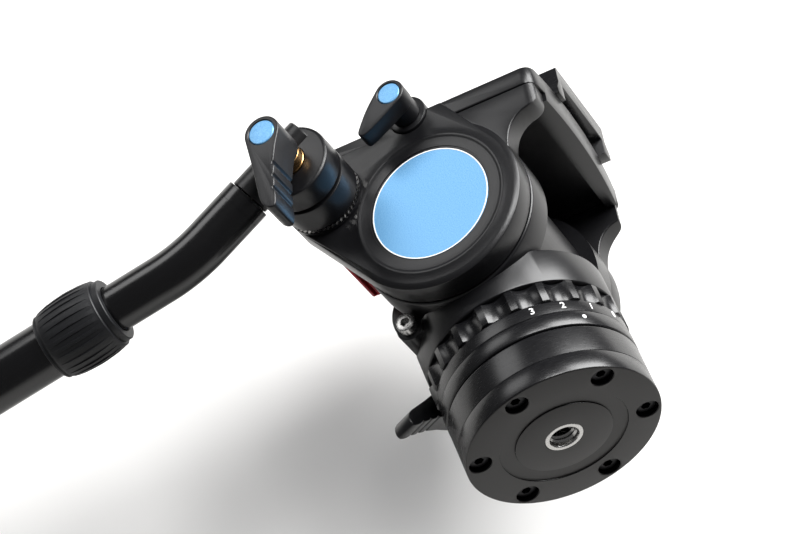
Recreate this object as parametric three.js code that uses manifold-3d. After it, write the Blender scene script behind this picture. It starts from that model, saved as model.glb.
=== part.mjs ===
import * as THREE from 'three';
import { mergeVertices } from 'three/addons/utils/BufferGeometryUtils.js';
import Module from 'manifold-3d';

// Fluid video head, millimetres, +Z up.
// The origin is the centre of the base's underside. +Y is where the lens looks,
// +X is the operator's right. The cradle is shown dipped forward by TILT_REST.

// Clearances and cuts
const SEAM = 0.3;
const OVERRUN = 20;

// Base plate and its fasteners
const BASE_RADIUS = 33.5;
const PLATE_HEIGHT = 7;
const EDGE_CHAMFER = 0.5;
const GROOVE_INSET = 11.6;
const GROOVE_WIDTH = 5.2;
const GROOVE_OUTER = BASE_RADIUS - GROOVE_INSET;
const GROOVE_INNER = GROOVE_OUTER - GROOVE_WIDTH;
const GROOVE_DEPTH = 0.5;
const SCREW_INSET = 5;
const SCREW_CIRCLE = BASE_RADIUS - SCREW_INSET;
const SCREW_COUNT = 6;
const SCREW_FIRST_ANGLE = 51.2;
const COUNTERBORE_RADIUS = 3.9;
const COUNTERBORE_DEPTH = 5;
const SCREW_HEAD_RADIUS = 3.5;
const SCREW_HEAD_HEIGHT = 3;
const SCREW_SHANK_RADIUS = 2;
const SCREW_LENGTH = 8;
const HEX_SOCKET_RADIUS = 1.6;
const HEX_SOCKET_DEPTH = 1.6;
const INSERT_RADIUS = 6.6;
const INSERT_THREAD_RADIUS = 4.2;
const INSERT_MOUTH_RADIUS = 5;
const INSERT_MOUTH_DEPTH = 0.9;
const INSERT_HEIGHT = 6.4;

// Pan stack: heights above the ground plane
const HOUSING_TOP = 17.8;
const INDEX_HEIGHT = 6.2;
const BAND_HEIGHT = 5.2;
const GRIP_HEIGHT = 8;
const SKIRT_HEIGHT = 14.3;
const INDEX_TOP = HOUSING_TOP + INDEX_HEIGHT;
const BAND_TOP = INDEX_TOP + BAND_HEIGHT;
const GRIP_TOP = BAND_TOP + GRIP_HEIGHT;
const SKIRT_TOP = GRIP_TOP + SKIRT_HEIGHT;
const FLOOR_THICKNESS = 3.5;
const TURRET_SHOULDER = 6.5;
const TURRET_RADIUS = BASE_RADIUS - TURRET_SHOULDER;
const TURRET_WALL = 3;
const TURRET_DROP = 0.8;
const TURRET_TOP = GRIP_TOP - TURRET_DROP;
const RING_PROUD = 0.1;
const INDEX_RADIUS = BASE_RADIUS + RING_PROUD;
const BAND_RADIUS = BASE_RADIUS - RING_PROUD;
const GRIP_PROUD = 0.5;
const GRIP_RADIUS = BASE_RADIUS + GRIP_PROUD;
const GRIP_FLUTES = 20;
const GRIP_FLUTE_DEPTH = 1.8;
const GRIP_FIRST_ANGLE = 50.8;
const SKIRT_RADIUS = BASE_RADIUS + RING_PROUD;
const SPINDLE_RADIUS = 8;
const SPINDLE_FLANGE_RADIUS = 12;
const SPINDLE_FLANGE_HEIGHT = 2;
const LID_THICKNESS = 1.1;
const POCKET_TOP = SKIRT_TOP - LID_THICKNESS;
const SPINDLE_GAP = 1;
const SPINDLE_TOP = POCKET_TOP - SPINDLE_GAP;
const STATOR_HEIGHT = 5.4;
const ROTOR_DROP = 3.6;
const ROTOR_BODY_TOP = TURRET_TOP - ROTOR_DROP;
const ROTOR_NECK_RADIUS = 14;
const SPINDLE_REACH = 7.4;
const ROTOR_NECK_TOP = SPINDLE_TOP - SPINDLE_REACH;
const DRUM_BRAKE_RADIUS = 13.4;
const DRUM_BRAKE_HEIGHT = 5;

// Tilt housing, which is part of the turning body
const TILT_RISE = 24.4;
const TILT_HEIGHT = SKIRT_TOP + TILT_RISE;
const DRUM_RADIUS = 32;
const DRUM_PROUD = 0.3;
const DRUM_END = BASE_RADIUS + DRUM_PROUD;
const DRUM_WIDTH = 11.8;
const WAIST_STEP = 5;
const WAIST_RADIUS = DRUM_RADIUS - WAIST_STEP;
const DRUM_WALL = 12;
const TILT_BORE = DRUM_RADIUS - DRUM_WALL;
const SHAFT_RADIUS = 8;
const BEARING_WIDTH = 7;
const DAMPER_INSET = 9.8;
const DAMPER_WIDTH = DRUM_END - DAMPER_INSET;
const SPRING_WIDTH = DAMPER_WIDTH;
const SPRING_GAP = 2;
const SPRING_OUTER = TILT_BORE - SPRING_GAP;

// Lug with its socket screw, at the back of the turning body
const LUG_INSET = 6.6;
const LUG_Y = LUG_INSET - BASE_RADIUS;
const LUG_DROP = 0.1;
const LUG_Z = SKIRT_TOP - LUG_DROP;
const LUG_RADIUS = 4.9;
const LUG_START = 10;
const LUG_END_INSET = 9;
const LUG_END = DRUM_END - LUG_END_INSET;
const LUG_SCREW_RADIUS = 3.5;
const LUG_SCREW_HEIGHT = 3.4;
const LUG_SHANK_RADIUS = 2;
const LUG_SHANK_LENGTH = 8;

// Pan lock: a lever on a stud that points at the pan axis
const PAN_LOCK_BEARING = 248;
const PAN_LOCK_RISE = 2.4;
const PAN_LOCK_Z = ROTOR_NECK_TOP + PAN_LOCK_RISE;
const PAN_LOCK_BOSS_RADIUS = 6.4;
const PAN_LOCK_BOSS_PROUD = 0.7;
const PAN_LOCK_BOSS_FACE = BASE_RADIUS + PAN_LOCK_BOSS_PROUD;
const PAN_LOCK_WIDTH = 8.6;
const PAN_LOCK_END = PAN_LOCK_BOSS_FACE + PAN_LOCK_WIDTH;
const PAN_LOCK_TURN = 57;
const PAN_LOCK_HUB_LENGTH = 0.4;
const PAN_LOCK_STUD_RADIUS = 2.5;
const BRAKE_SHOE_LENGTH = 4;
const BRAKE_GAP = 2;
const PAN_LOCK_STUD_END = DRUM_BRAKE_RADIUS + BRAKE_GAP + BRAKE_SHOE_LENGTH;

// Cradle: the tilting frame. Its sizes are measured from the tilt axis.
const TILT_REST = -10.4;
const ARM_GAP = 0.8;
const ARM_THICKNESS = 8.7;
const ARM_INNER = BASE_RADIUS + ARM_GAP;
const ARM_OUTER = ARM_INNER + ARM_THICKNESS;
const PLATFORM_HALF_WIDTH = ARM_OUTER;
const DRUM_GAP = 1.2;
const DECK_THICKNESS = 5.2;
const PLATFORM_THICKNESS = 6.8;
const PLATFORM_TOP = DRUM_RADIUS + DRUM_GAP + DECK_THICKNESS;
const PLATFORM_BOTTOM = PLATFORM_TOP - PLATFORM_THICKNESS;
const LIP_DROP = 3.2;
const LIP_BOTTOM = PLATFORM_BOTTOM - LIP_DROP;
const PLATFORM_REAR = -48;
const PLATFORM_REAR_CORNER = 7;
const FRONT_MIDDLE = 43.9;
const FRONT_CORNER = 6;
const FRONT_CORNER_X = PLATFORM_HALF_WIDTH - FRONT_CORNER;
const FRONT_RIGHT_Y = 43.4;
const FRONT_LEFT_Y = 40.3;
const CORNER_RIGHT_Y = 38.8;
const CORNER_LEFT_Y = 31;
const POCKET_FRONT = 37;
const POCKET_REAR = -40;
const POCKET_HALF_WIDTH = DRUM_END + RING_PROUD;
const COVER_PROUD = 0.9;
const COVER_FACE = ARM_OUTER + COVER_PROUD;
const BOSS_STEP = 0.5;
const BOSS_RADIUS = DRUM_RADIUS - BOSS_STEP;
const COVER_STEP = 1.7;
const COVER_RADIUS = BOSS_RADIUS - COVER_STEP;
const COVER_ANGLE = 34;
const COVER_REAR_ANGLE = 100;
const COVER_DROP = 4.4;
const COVER_TOP = PLATFORM_TOP - COVER_DROP;
const COVER_SHOULDER = 37.8;
const COVER_SHOULDER_REAR = -9;
const COVER_SHOULDER_RUN = 4;
const BEZEL_PROUD = 0.7;
const BEZEL_FACE = COVER_FACE + BEZEL_PROUD;
const BEZEL_STEP = 1.4;
const BEZEL_RADIUS = COVER_RADIUS - BEZEL_STEP;
const BEZEL_WIDTH = 7.7;
const LABEL_RADIUS = BEZEL_RADIUS - BEZEL_WIDTH;
const LABEL_THICKNESS = 1;
const LABEL_PROUD = 0.2;
const LABEL_FACE = COVER_FACE + LABEL_PROUD;
const ARM_FRONT_ANGLE = 18;
const ARM_CURVE_Y = 30.6;
const ARM_CURVE_Z = 19.2;
const ARM_NOSE_Y = 39.5;
const ARM_NOSE_Z = 22.8;
const ARM_NOSE_ROUND = 4;
const ARM_FRONT_Y = 42.6;
const LEFT_NOSE_INSET = 0.7;
const LEFT_NOSE_START = 25;
const SHAFT_COVER = 1.5;
const SHAFT_END = ARM_OUTER - SHAFT_COVER;

// Rosette and handle clamp, on an axis parallel to the tilt axis
const ROSETTE_Y = -36.2;
const ROSETTE_Z = 19;
const ROSETTE_RADIUS = 13.8;
const ROSETTE_PROUD = 3.6;
const ROSETTE_FACE = ARM_OUTER + ROSETTE_PROUD;
const ROSETTE_LENGTH = 11.4;
const ROSETTE_BODY_END = ROSETTE_FACE + ROSETTE_LENGTH;
const ROSETTE_NECK_RADIUS = 12.2;
const ROSETTE_NECK_LENGTH = 1.2;
const CLAMP_WIDTH = 11;
const CLAMP_END = ROSETTE_BODY_END + CLAMP_WIDTH;
const CLAMP_RADIUS = 13.7;
const STUD_RADIUS = 5.6;
const STUD_PROUD = 4.6;
const STUD_END = CLAMP_END + STUD_PROUD;
const STUD_SEAT_DEPTH = 5;
const CLAMP_LEVER_WIDTH = 14.4;
const CLAMP_LEVER_END = STUD_END + CLAMP_LEVER_WIDTH;
const ROSETTE_TEETH = 20;
const ROSETTE_TOOTH_DEPTH = 0.6;

// Levers with a round cap in the head. Each outline runs from the head down the
// ribbed flank, round the tip and back up, in shares of the head's radius and the reach.
const LEVER_HEAD_RADIUS = 6.2;
const LEVER_REACH = 30.3;
const LEVER_CAP_RADIUS = 4.5;
const LEVER_CAP_THICKNESS = 0.8;
const LEVER_HUB_LENGTH = 1;
const HEAD_START_ANGLE = 190;
const HEAD_END_ANGLE = -15;
const LEVER_OUTLINE_SHARES = [
  [0.66, 0.23], [0.44, 0.42], [0.3, 0.445], [0.39, 0.48], [0.34, 0.58], [0.2, 0.605], [0.3, 0.64], [0.26, 0.74],
  [0.12, 0.765], [0.23, 0.8], [0.21, 0.93], [0.06, 1], [-0.26, 0.985], [-0.56, 0.91], [-0.68, 0.79], [-0.79, 0.45],
];
const SMALL_HEAD_RADIUS = 5.3;
const SMALL_REACH = 17.3;
const SMALL_CAP_RADIUS = 3.9;
const SMALL_HUB_LENGTH = 6;
const SMALL_OUTLINE_SHARES = [
  [0.8, 0.33], [0.58, 0.64], [0.36, 0.9], [0.15, 1], [-0.15, 1], [-0.36, 0.9], [-0.64, 0.64], [-0.86, 0.33],
];

// Plate lock lever and clamp jaw
const PLATE_LOCK_Y = -1.8;
const PLATE_LOCK_DROP = 0.2;
const PLATE_LOCK_Z = PLATFORM_TOP - PLATE_LOCK_DROP;
const PLATE_LOCK_BOSS_RADIUS = 7;
const PLATE_LOCK_BOSS_PROUD = 1.9;
const PLATE_LOCK_BOSS_FACE = ARM_OUTER + PLATE_LOCK_BOSS_PROUD;
const PLATE_LOCK_WIDTH = 13.3;
const PLATE_LOCK_END = PLATE_LOCK_BOSS_FACE + PLATE_LOCK_WIDTH;
const PLATE_LOCK_TURN = -47;
const PLATE_LOCK_STUD_RADIUS = 2.6;
const JAW_LENGTH = 40;
const JAW_TRAVEL = 1.5;
const JAW_HOLE_DEPTH = 4;
const STUD_REACH = 1.6;

// Quick-release plate
const PLATE_LENGTH = 90;
const PLATE_FRONT = 45.4;
const FOOT_HALF_WIDTH = 23;
const WEB_HALF_WIDTH = 20.6;
const FOOT_HEIGHT = 2.8;
const WEB_RISE = 6.6;
const WEB_BOTTOM = PLATFORM_TOP + WEB_RISE;
const WEB_HEIGHT = 6.6;
const PLATE_TOP = WEB_BOTTOM + WEB_HEIGHT;
const CHANNEL_HALF_WIDTH = 17.4;
const PLATE_EDGE = 1;
const RAIL_INSET = 12;
const RAIL_OUTER = PLATFORM_HALF_WIDTH - RAIL_INSET;
const RAIL_HEIGHT = 5.4;
const RAIL_TOP = PLATFORM_TOP + RAIL_HEIGHT;
const RAIL_FRONT = 35;
const RAIL_REAR = -42;
const PAD_MARGIN = 7;
const PAD_LENGTH = PLATE_LENGTH - 2 * PAD_MARGIN;
const PAD_HALF_WIDTH = 16;
const PAD_SLOT_GAP = 1.6;
const SLOT_HALF_WIDTH = 3.4;
const PAD_INNER = SLOT_HALF_WIDTH + PAD_SLOT_GAP;
const PAD_HEIGHT = 0.9;
const SLOT_LENGTH = 34;
const SCREW_HEAD_DISC = 8.6;
const SCREW_HEAD_DISC_HEIGHT = 3;
const CAMERA_SCREW_RADIUS = 3.1;
const CAMERA_SCREW_REACH = 5.5;
const CAMERA_SCREW_Y = 6;
const INDEX_PIN_RADIUS = 1.9;
const INDEX_PIN_INSET = 11.4;
const INDEX_PIN_Y = PLATE_FRONT - INDEX_PIN_INSET;
const INDEX_PIN_PROUD = 3.4;
const INDEX_PIN_HEAD = 3;
const INDEX_PIN_HEAD_HEIGHT = 1.6;

// Release button: a hollow red push button behind the platform
const BUTTON_RIGHT = -6;
const BUTTON_LEFT = -31.4;
const BUTTON_PROUD = 6.2;
const BUTTON_REAR = PLATFORM_REAR - BUTTON_PROUD;
const BUTTON_GAP = 2.4;
const BUTTON_DROP = 1.6;
const BUTTON_LOW = PLATFORM_BOTTOM - BUTTON_DROP;
const BUTTON_HEIGHT = 6.4;
const BUTTON_HIGH = BUTTON_LOW + BUTTON_HEIGHT;
const BUTTON_WALL = 1.2;
const BUTTON_ROOF = 2.6;
const BUTTON_STEM_RADIUS = 1.7;
const BUTTON_STEM_LENGTH = 6;
const BUTTON_TRAVEL = 2;

// Bubble level on the left of the platform
const LEVEL_INSET = 6;
const LEVEL_X = LEVEL_INSET - PLATFORM_HALF_WIDTH;
const LEVEL_Y = -32;
const LEVEL_RADIUS = 5;
const LEVEL_HEIGHT = 3.4;
const VIAL_RADIUS = 3.9;
const VIAL_HEIGHT = 2.2;

// Tilt drag dial and tilt lock, on the left
const DIAL_RADIUS = 16.6;
const DIAL_WIDTH = 7;
const DIAL_FLUTES = 16;
const DIAL_FLUTE_DEPTH = 0.9;
const DIAL_HUB_RADIUS = 5;
const DIAL_LABEL_RADIUS = 12.4;
const TILT_LOCK_Y = -21.5;
const TILT_LOCK_Z = -10.5;
const TILT_LOCK_BOSS_RADIUS = 6.2;
const TILT_LOCK_BOSS_LENGTH = 8;
const TILT_LOCK_STUD_RADIUS = 2.6;
const TILT_LOCK_LEVER_WIDTH = 13;
const TILT_LOCK_TURN = 195;

// Handle
const HANDLE_INSET = 5;
const HANDLE_X = CLAMP_END - HANDLE_INSET;
const HANDLE_OFFSET = 6.8;
const HANDLE_DROP = 20.8;
const SOCKET_RADIUS = 7.1;
const SOCKET_FRONT = 10.6;
const TUBE_START = 17.4;
const TUBE_STRAIGHT = 36.8;
const TUBE_BEND = 55;
const TUBE_RADIUS = 8.1;
const TUBE_WALL = 1.6;
const TUBE_END = 172;
const SET_SCREW_AT = 24.1;
const SET_SCREW_ANGLE = 85;
const SET_SCREW_RADIUS = 1.7;
const SET_SCREW_LENGTH = 1.4;
const OUTER_TUBE_RADIUS = 10;
const OUTER_TUBE_FRONT = 79;
const COLLAR_FRONT = 75;
const COLLAR_LENGTH = 25.2;
const COLLAR_RADIUS = 12.4;
const COLLAR_BARREL = 0.9;
const COLLAR_RIBS = 22;
const COLLAR_RIB_HEIGHT = 0.5;
const COLLAR_NECK_RADIUS = 11.2;
const COLLAR_NECK_LENGTH = 2.4;
const COLLAR_STEP_RADIUS = 11.6;
const COLLAR_STEP_LENGTH = 1.8;
const GRIP_START = 178;
const GRIP_SLEEVE_RADIUS = 14;
const GRIP_RING_COUNT = 4;
const GRIP_RING_DEPTH = 0.9;
const GRIP_LENGTH = 108;
// Each wave of the grip, in shares of its pitch and of its depth
const GRIP_WAVE_SHARES = [[0.2, 0], [0.35, 1], [0.85, 1], [1, 0]];
const OUTER_TUBE_END = GRIP_START + GRIP_LENGTH;
const CAP_LENGTH = 5;
const CAP_PLUG_LENGTH = 10;

// How finely round shapes are divided
const BIG = 36;
const MID = 22;
const SMALL = 14;
const TINY = 8;
const BEND_STEPS = 8;
const CORNER_STEPS = 5;
const NOSE_STEPS = 4;
const BOW_STEPS = 10;
const ARM_HEAD_STEPS = 8;
const ARM_STEPS = 16;
const COVER_HEAD_STEPS = 9;
const COVER_STEPS = 18;
const SLOT_STEPS = 6;
const FLUTE_STEPS = 4;
const TOOTH_STEPS = 2;
const BARREL_STEPS = 3;

// How much of each pitch a rib, land or tooth takes
const GRIP_LAND_SHARE = 0.3;
const DIAL_LAND_SHARE = 0.4;
const COLLAR_RIB_SHARE = 0.4;
const TOOTH_SHARE = 0.5;

const wasm = await Module();
wasm.setup();
const rad = THREE.MathUtils.degToRad;

// Solid geometry: a closed mesh whose faces point out
function signedVolume(position, index) {
  const a = new THREE.Vector3();
  const b = new THREE.Vector3();
  const c = new THREE.Vector3();
  let sum = 0;
  for (let i = 0; i < index.length; i += 3) {
    a.fromBufferAttribute(position, index[i]);
    b.fromBufferAttribute(position, index[i + 1]);
    c.fromBufferAttribute(position, index[i + 2]);
    sum += a.dot(b.cross(c));
  }
  return sum;
}

function closed(geometry) {
  const plain = geometry.clone();
  for (const name of Object.keys(plain.attributes)) {
    if (name !== 'position') plain.deleteAttribute(name);
  }
  const merged = mergeVertices(plain);
  const old = merged.index.array;
  const kept = [];
  for (let i = 0; i < old.length; i += 3) {
    const [a, b, c] = [old[i], old[i + 1], old[i + 2]];
    if (a !== b && b !== c && c !== a) kept.push(a, b, c);
  }
  if (signedVolume(merged.attributes.position, kept) < 0) kept.reverse();
  merged.setIndex(kept);
  return merged;
}

function toSolid(geometry) {
  const mesh = closed(geometry);
  return new wasm.Manifold(new wasm.Mesh({
    numProp: 3,
    vertProperties: new Float32Array(mesh.attributes.position.array),
    triVerts: new Uint32Array(mesh.index.array),
  }));
}

function fromSolid(solid) {
  const mesh = solid.getMesh();
  const geometry = new THREE.BufferGeometry();
  geometry.setAttribute('position', new THREE.BufferAttribute(mesh.vertProperties, 3));
  geometry.setIndex(new THREE.BufferAttribute(mesh.triVerts, 1));
  return geometry;
}

function join(first, ...others) {
  return fromSolid(others.reduce((solid, next) => solid.add(toSolid(next)), toSolid(first)));
}

function cut(first, ...tools) {
  return fromSolid(tools.reduce((solid, tool) => solid.subtract(toSolid(tool)), toSolid(first)));
}

function common(first, second) {
  return fromSolid(toSolid(first).intersect(toSolid(second)));
}

// Turned shapes about Z: a ring from its closed profile of radius and height
function ring(profile, segments = BIG) {
  const points = profile.map(([r, h]) => new THREE.Vector2(r, h));
  points.push(points[0].clone());
  return new THREE.LatheGeometry(points, segments).rotateX(Math.PI / 2);
}

// A turned shape whose profile starts and ends on the axis
function turned(profile, segments = BIG) {
  const points = profile.map(([r, h]) => new THREE.Vector2(r, h));
  return new THREE.LatheGeometry(points, segments).rotateX(Math.PI / 2);
}

function tube(inner, outer, low, high, segments = BIG) {
  return ring([[inner, low], [outer, low], [outer, high], [inner, high]], segments);
}

function rod(radius, low, high, segments = SMALL) {
  return turned([[0, low], [radius, low], [radius, high], [0, high]], segments);
}

function chamferedRod(radius, low, high, edge, segments = SMALL) {
  return turned([[0, low], [radius, low], [radius, high - edge], [radius - edge, high], [0, high]], segments);
}

// A flat outline given as points, pushed up from one height to another
function prism(points, low, high) {
  const shape = new THREE.Shape(points.map(([u, v]) => new THREE.Vector2(u, v)));
  const options = { depth: high - low, bevelEnabled: false, curveSegments: 1 };
  return new THREE.ExtrudeGeometry(shape, options).translate(0, 0, low);
}

function box(x0, x1, y0, y1, z0, z1) {
  return new THREE.BoxGeometry(x1 - x0, y1 - y0, z1 - z0)
    .translate((x0 + x1) / 2, (y0 + y1) / 2, (z0 + z1) / 2);
}

// Stands a shape made about Z on the X axis: its plan becomes the side view
function sideways(geometry) {
  const turn = new THREE.Matrix4().set(0, 0, 1, 0, 1, 0, 0, 0, 0, 1, 0, 0, 0, 0, 0, 1);
  return geometry.applyMatrix4(turn);
}

// Stands a shape made about Z on the Y axis, pointing backwards
function rearward(geometry) {
  const turn = new THREE.Matrix4().set(1, 0, 0, 0, 0, 0, -1, 0, 0, 1, 0, 0, 0, 0, 0, 1);
  return geometry.applyMatrix4(turn);
}

// Lays a shape made about Z along the pan lock's stud, pointing out from the pan axis
function radial(geometry) {
  const out = new THREE.Vector3(Math.cos(rad(PAN_LOCK_BEARING)), Math.sin(rad(PAN_LOCK_BEARING)), 0);
  const up = new THREE.Vector3(0, 0, 1);
  const frame = new THREE.Matrix4().makeBasis(new THREE.Vector3().crossVectors(up, out), up, out);
  return geometry.applyMatrix4(frame).translate(0, 0, PAN_LOCK_Z);
}

function arc(cu, cv, radius, from, to, steps) {
  const points = [];
  for (let i = 0; i <= steps; i += 1) {
    const angle = rad(from + ((to - from) * i) / steps);
    points.push([cu + radius * Math.cos(angle), cv + radius * Math.sin(angle)]);
  }
  return points;
}

function curve(start, control, end, steps) {
  const path = new THREE.QuadraticBezierCurve(
    new THREE.Vector2(...start), new THREE.Vector2(...control), new THREE.Vector2(...end));
  return path.getPoints(steps).map((p) => [p.x, p.y]);
}

// The outline of a round knob with hollow flutes between its ribs
function fluted(radius, depth, count, first, ribShare, steps) {
  const points = [];
  const pitch = 360 / count;
  for (let k = 0; k < count; k += 1) {
    const start = first + pitch * (k - ribShare / 2);
    const end = start + pitch * ribShare;
    points.push([radius * Math.cos(rad(start)), radius * Math.sin(rad(start))]);
    points.push([radius * Math.cos(rad(end)), radius * Math.sin(rad(end))]);
    for (let i = 1; i < steps; i += 1) {
      const share = i / steps;
      const angle = rad(end + pitch * (1 - ribShare) * share);
      const r = radius - depth * Math.sin(Math.PI * share);
      points.push([r * Math.cos(angle), r * Math.sin(angle)]);
    }
  }
  return points;
}

// Finishes
const finishes = {
  anodised: { color: 0x1b1b1d, roughness: 0.42, metalness: 0.6 },
  moulded: { color: 0x18181a, roughness: 0.55, metalness: 0 },
  rubber: { color: 0x141415, roughness: 0.8, metalness: 0 },
  steel: { color: 0xb9bcc0, roughness: 0.3, metalness: 1 },
  blackSteel: { color: 0x202124, roughness: 0.4, metalness: 0.8 },
  brass: { color: 0xc99a4b, roughness: 0.3, metalness: 1 },
  blue: { color: 0x5aa6e0, roughness: 0.4, metalness: 0.3 },
  red: { color: 0xc8202c, roughness: 0.45, metalness: 0 },
  glass: { color: 0xb7d957, roughness: 0.1, metalness: 0 },
};

function piece(group, name, geometry, finish) {
  const body = closed(geometry);
  body.computeVertexNormals();
  const mesh = new THREE.Mesh(body, new THREE.MeshStandardMaterial(finishes[finish]));
  mesh.name = name;
  group.add(mesh);
  return mesh;
}

const head = new THREE.Group();
const base = new THREE.Group();
const pan = new THREE.Group();
const cradle = new THREE.Group();
const handle = new THREE.Group();
head.add(base, pan, cradle);
cradle.position.set(0, 0, TILT_HEIGHT);
cradle.rotation.x = rad(TILT_REST);
cradle.add(handle);
handle.position.set(0, ROSETTE_Y, ROSETTE_Z);
handle.rotation.x = rad(-TILT_REST);

// Base plate, with its countersunk screws and the threaded insert
function screwPlaces() {
  const places = [];
  for (let k = 0; k < SCREW_COUNT; k += 1) {
    const angle = rad(SCREW_FIRST_ANGLE + (360 / SCREW_COUNT) * k);
    places.push([SCREW_CIRCLE * Math.cos(angle), SCREW_CIRCLE * Math.sin(angle)]);
  }
  return places;
}

function basePlate() {
  const bore = INSERT_RADIUS + SEAM;
  let plate = ring([
    [bore, 0], [GROOVE_INNER, 0], [GROOVE_INNER, GROOVE_DEPTH], [GROOVE_OUTER, GROOVE_DEPTH],
    [GROOVE_OUTER, 0], [BASE_RADIUS - EDGE_CHAMFER, 0], [BASE_RADIUS, EDGE_CHAMFER],
    [BASE_RADIUS, PLATE_HEIGHT], [bore, PLATE_HEIGHT],
  ]);
  for (const [x, y] of screwPlaces()) {
    const counterbore = rod(COUNTERBORE_RADIUS, -OVERRUN, COUNTERBORE_DEPTH).translate(x, y, 0);
    const through = rod(SCREW_SHANK_RADIUS + SEAM, -OVERRUN, PLATE_HEIGHT + OVERRUN, TINY).translate(x, y, 0);
    plate = cut(plate, counterbore, through);
  }
  return plate;
}

function plateScrew() {
  const headLow = COUNTERBORE_DEPTH - SEAM - SCREW_HEAD_HEIGHT;
  const headHigh = COUNTERBORE_DEPTH - SEAM;
  return turned([
    [0, headLow + HEX_SOCKET_DEPTH], [HEX_SOCKET_RADIUS, headLow + HEX_SOCKET_DEPTH],
    [HEX_SOCKET_RADIUS, headLow], [SCREW_HEAD_RADIUS, headLow], [SCREW_HEAD_RADIUS, headHigh],
    [SCREW_SHANK_RADIUS, headHigh], [SCREW_SHANK_RADIUS, headLow + SCREW_LENGTH],
    [0, headLow + SCREW_LENGTH],
  ], TINY);
}

const screwTip = COUNTERBORE_DEPTH - SEAM - SCREW_HEAD_HEIGHT + SCREW_LENGTH;

piece(base, 'base_plate', basePlate(), 'anodised');
screwPlaces().forEach(([x, y], k) => {
  piece(base, `plate_screw_${k + 1}`, plateScrew().translate(x, y, 0), 'blackSteel');
});
piece(base, 'thread_insert', ring([
  [INSERT_MOUTH_RADIUS, 0], [INSERT_RADIUS, 0], [INSERT_RADIUS, INSERT_HEIGHT],
  [INSERT_THREAD_RADIUS, INSERT_HEIGHT], [INSERT_THREAD_RADIUS, INSERT_MOUTH_DEPTH],
], MID), 'steel');

// Base housing: a cup that the pan damper sits in, with a turret for the rings
const housingLow = PLATE_HEIGHT + SEAM;
const floorTop = housingLow + FLOOR_THICKNESS;
const turretInner = TURRET_RADIUS - TURRET_WALL;

function baseHousing() {
  const bore = SPINDLE_RADIUS + SEAM;
  const flange = SPINDLE_FLANGE_RADIUS + SEAM;
  const recess = housingLow + SPINDLE_FLANGE_HEIGHT + SEAM;
  let housing = ring([
    [flange, housingLow], [BASE_RADIUS, housingLow], [BASE_RADIUS, HOUSING_TOP - EDGE_CHAMFER],
    [BASE_RADIUS - EDGE_CHAMFER, HOUSING_TOP], [TURRET_RADIUS, HOUSING_TOP], [TURRET_RADIUS, TURRET_TOP],
    [turretInner, TURRET_TOP], [turretInner, floorTop], [bore, floorTop], [bore, recess], [flange, recess],
  ]);
  for (const [x, y] of screwPlaces()) {
    housing = cut(housing, rod(SCREW_SHANK_RADIUS + SEAM, 0, screwTip + SEAM, TINY).translate(x, y, 0));
  }
  return housing;
}

piece(base, 'base_housing', baseHousing(), 'anodised');
piece(base, 'index_ring', ring([
  [TURRET_RADIUS + SEAM, HOUSING_TOP + SEAM], [INDEX_RADIUS - EDGE_CHAMFER, HOUSING_TOP + SEAM],
  [INDEX_RADIUS, HOUSING_TOP + SEAM + EDGE_CHAMFER], [INDEX_RADIUS, INDEX_TOP],
  [TURRET_RADIUS + SEAM, INDEX_TOP],
]), 'anodised');
piece(base, 'pan_spindle', turned([
  [0, housingLow], [SPINDLE_FLANGE_RADIUS, housingLow],
  [SPINDLE_FLANGE_RADIUS, housingLow + SPINDLE_FLANGE_HEIGHT],
  [SPINDLE_RADIUS, housingLow + SPINDLE_FLANGE_HEIGHT], [SPINDLE_RADIUS, SPINDLE_TOP], [0, SPINDLE_TOP],
], MID), 'steel');
piece(base, 'pan_stator', tube(SPINDLE_RADIUS + SEAM, turretInner - SEAM,
  floorTop + SEAM, floorTop + SEAM + STATOR_HEIGHT, MID), 'blackSteel');
const drumLow = ROTOR_NECK_TOP + SEAM;
piece(base, 'pan_brake_drum', tube(SPINDLE_RADIUS + SEAM, DRUM_BRAKE_RADIUS,
  drumLow, drumLow + DRUM_BRAKE_HEIGHT, MID), 'steel');

// Pan drag ring: the number band and its grip turn as one
const bandLow = INDEX_TOP + SEAM;
const band = ring([
  [TURRET_RADIUS + SEAM, bandLow], [BAND_RADIUS, bandLow], [BAND_RADIUS, BAND_TOP - EDGE_CHAMFER],
  [BAND_RADIUS - EDGE_CHAMFER, BAND_TOP], [BAND_RADIUS - EDGE_CHAMFER, BAND_TOP + SEAM],
  [TURRET_RADIUS + SEAM, BAND_TOP + SEAM],
]);
const gripOutline = fluted(GRIP_RADIUS, GRIP_FLUTE_DEPTH, GRIP_FLUTES, GRIP_FIRST_ANGLE, GRIP_LAND_SHARE,
  FLUTE_STEPS);
const grip = cut(prism(gripOutline, BAND_TOP, GRIP_TOP), rod(TURRET_RADIUS + SEAM, 0, GRIP_TOP + OVERRUN, BIG));
piece(base, 'pan_drag_ring', join(band, grip), 'anodised');

// Turning body: skirt, tilt housing and lug in one casting
const pocketRadius = ROTOR_NECK_RADIUS + SEAM;
const drumStart = DRUM_END - DRUM_WIDTH;

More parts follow.
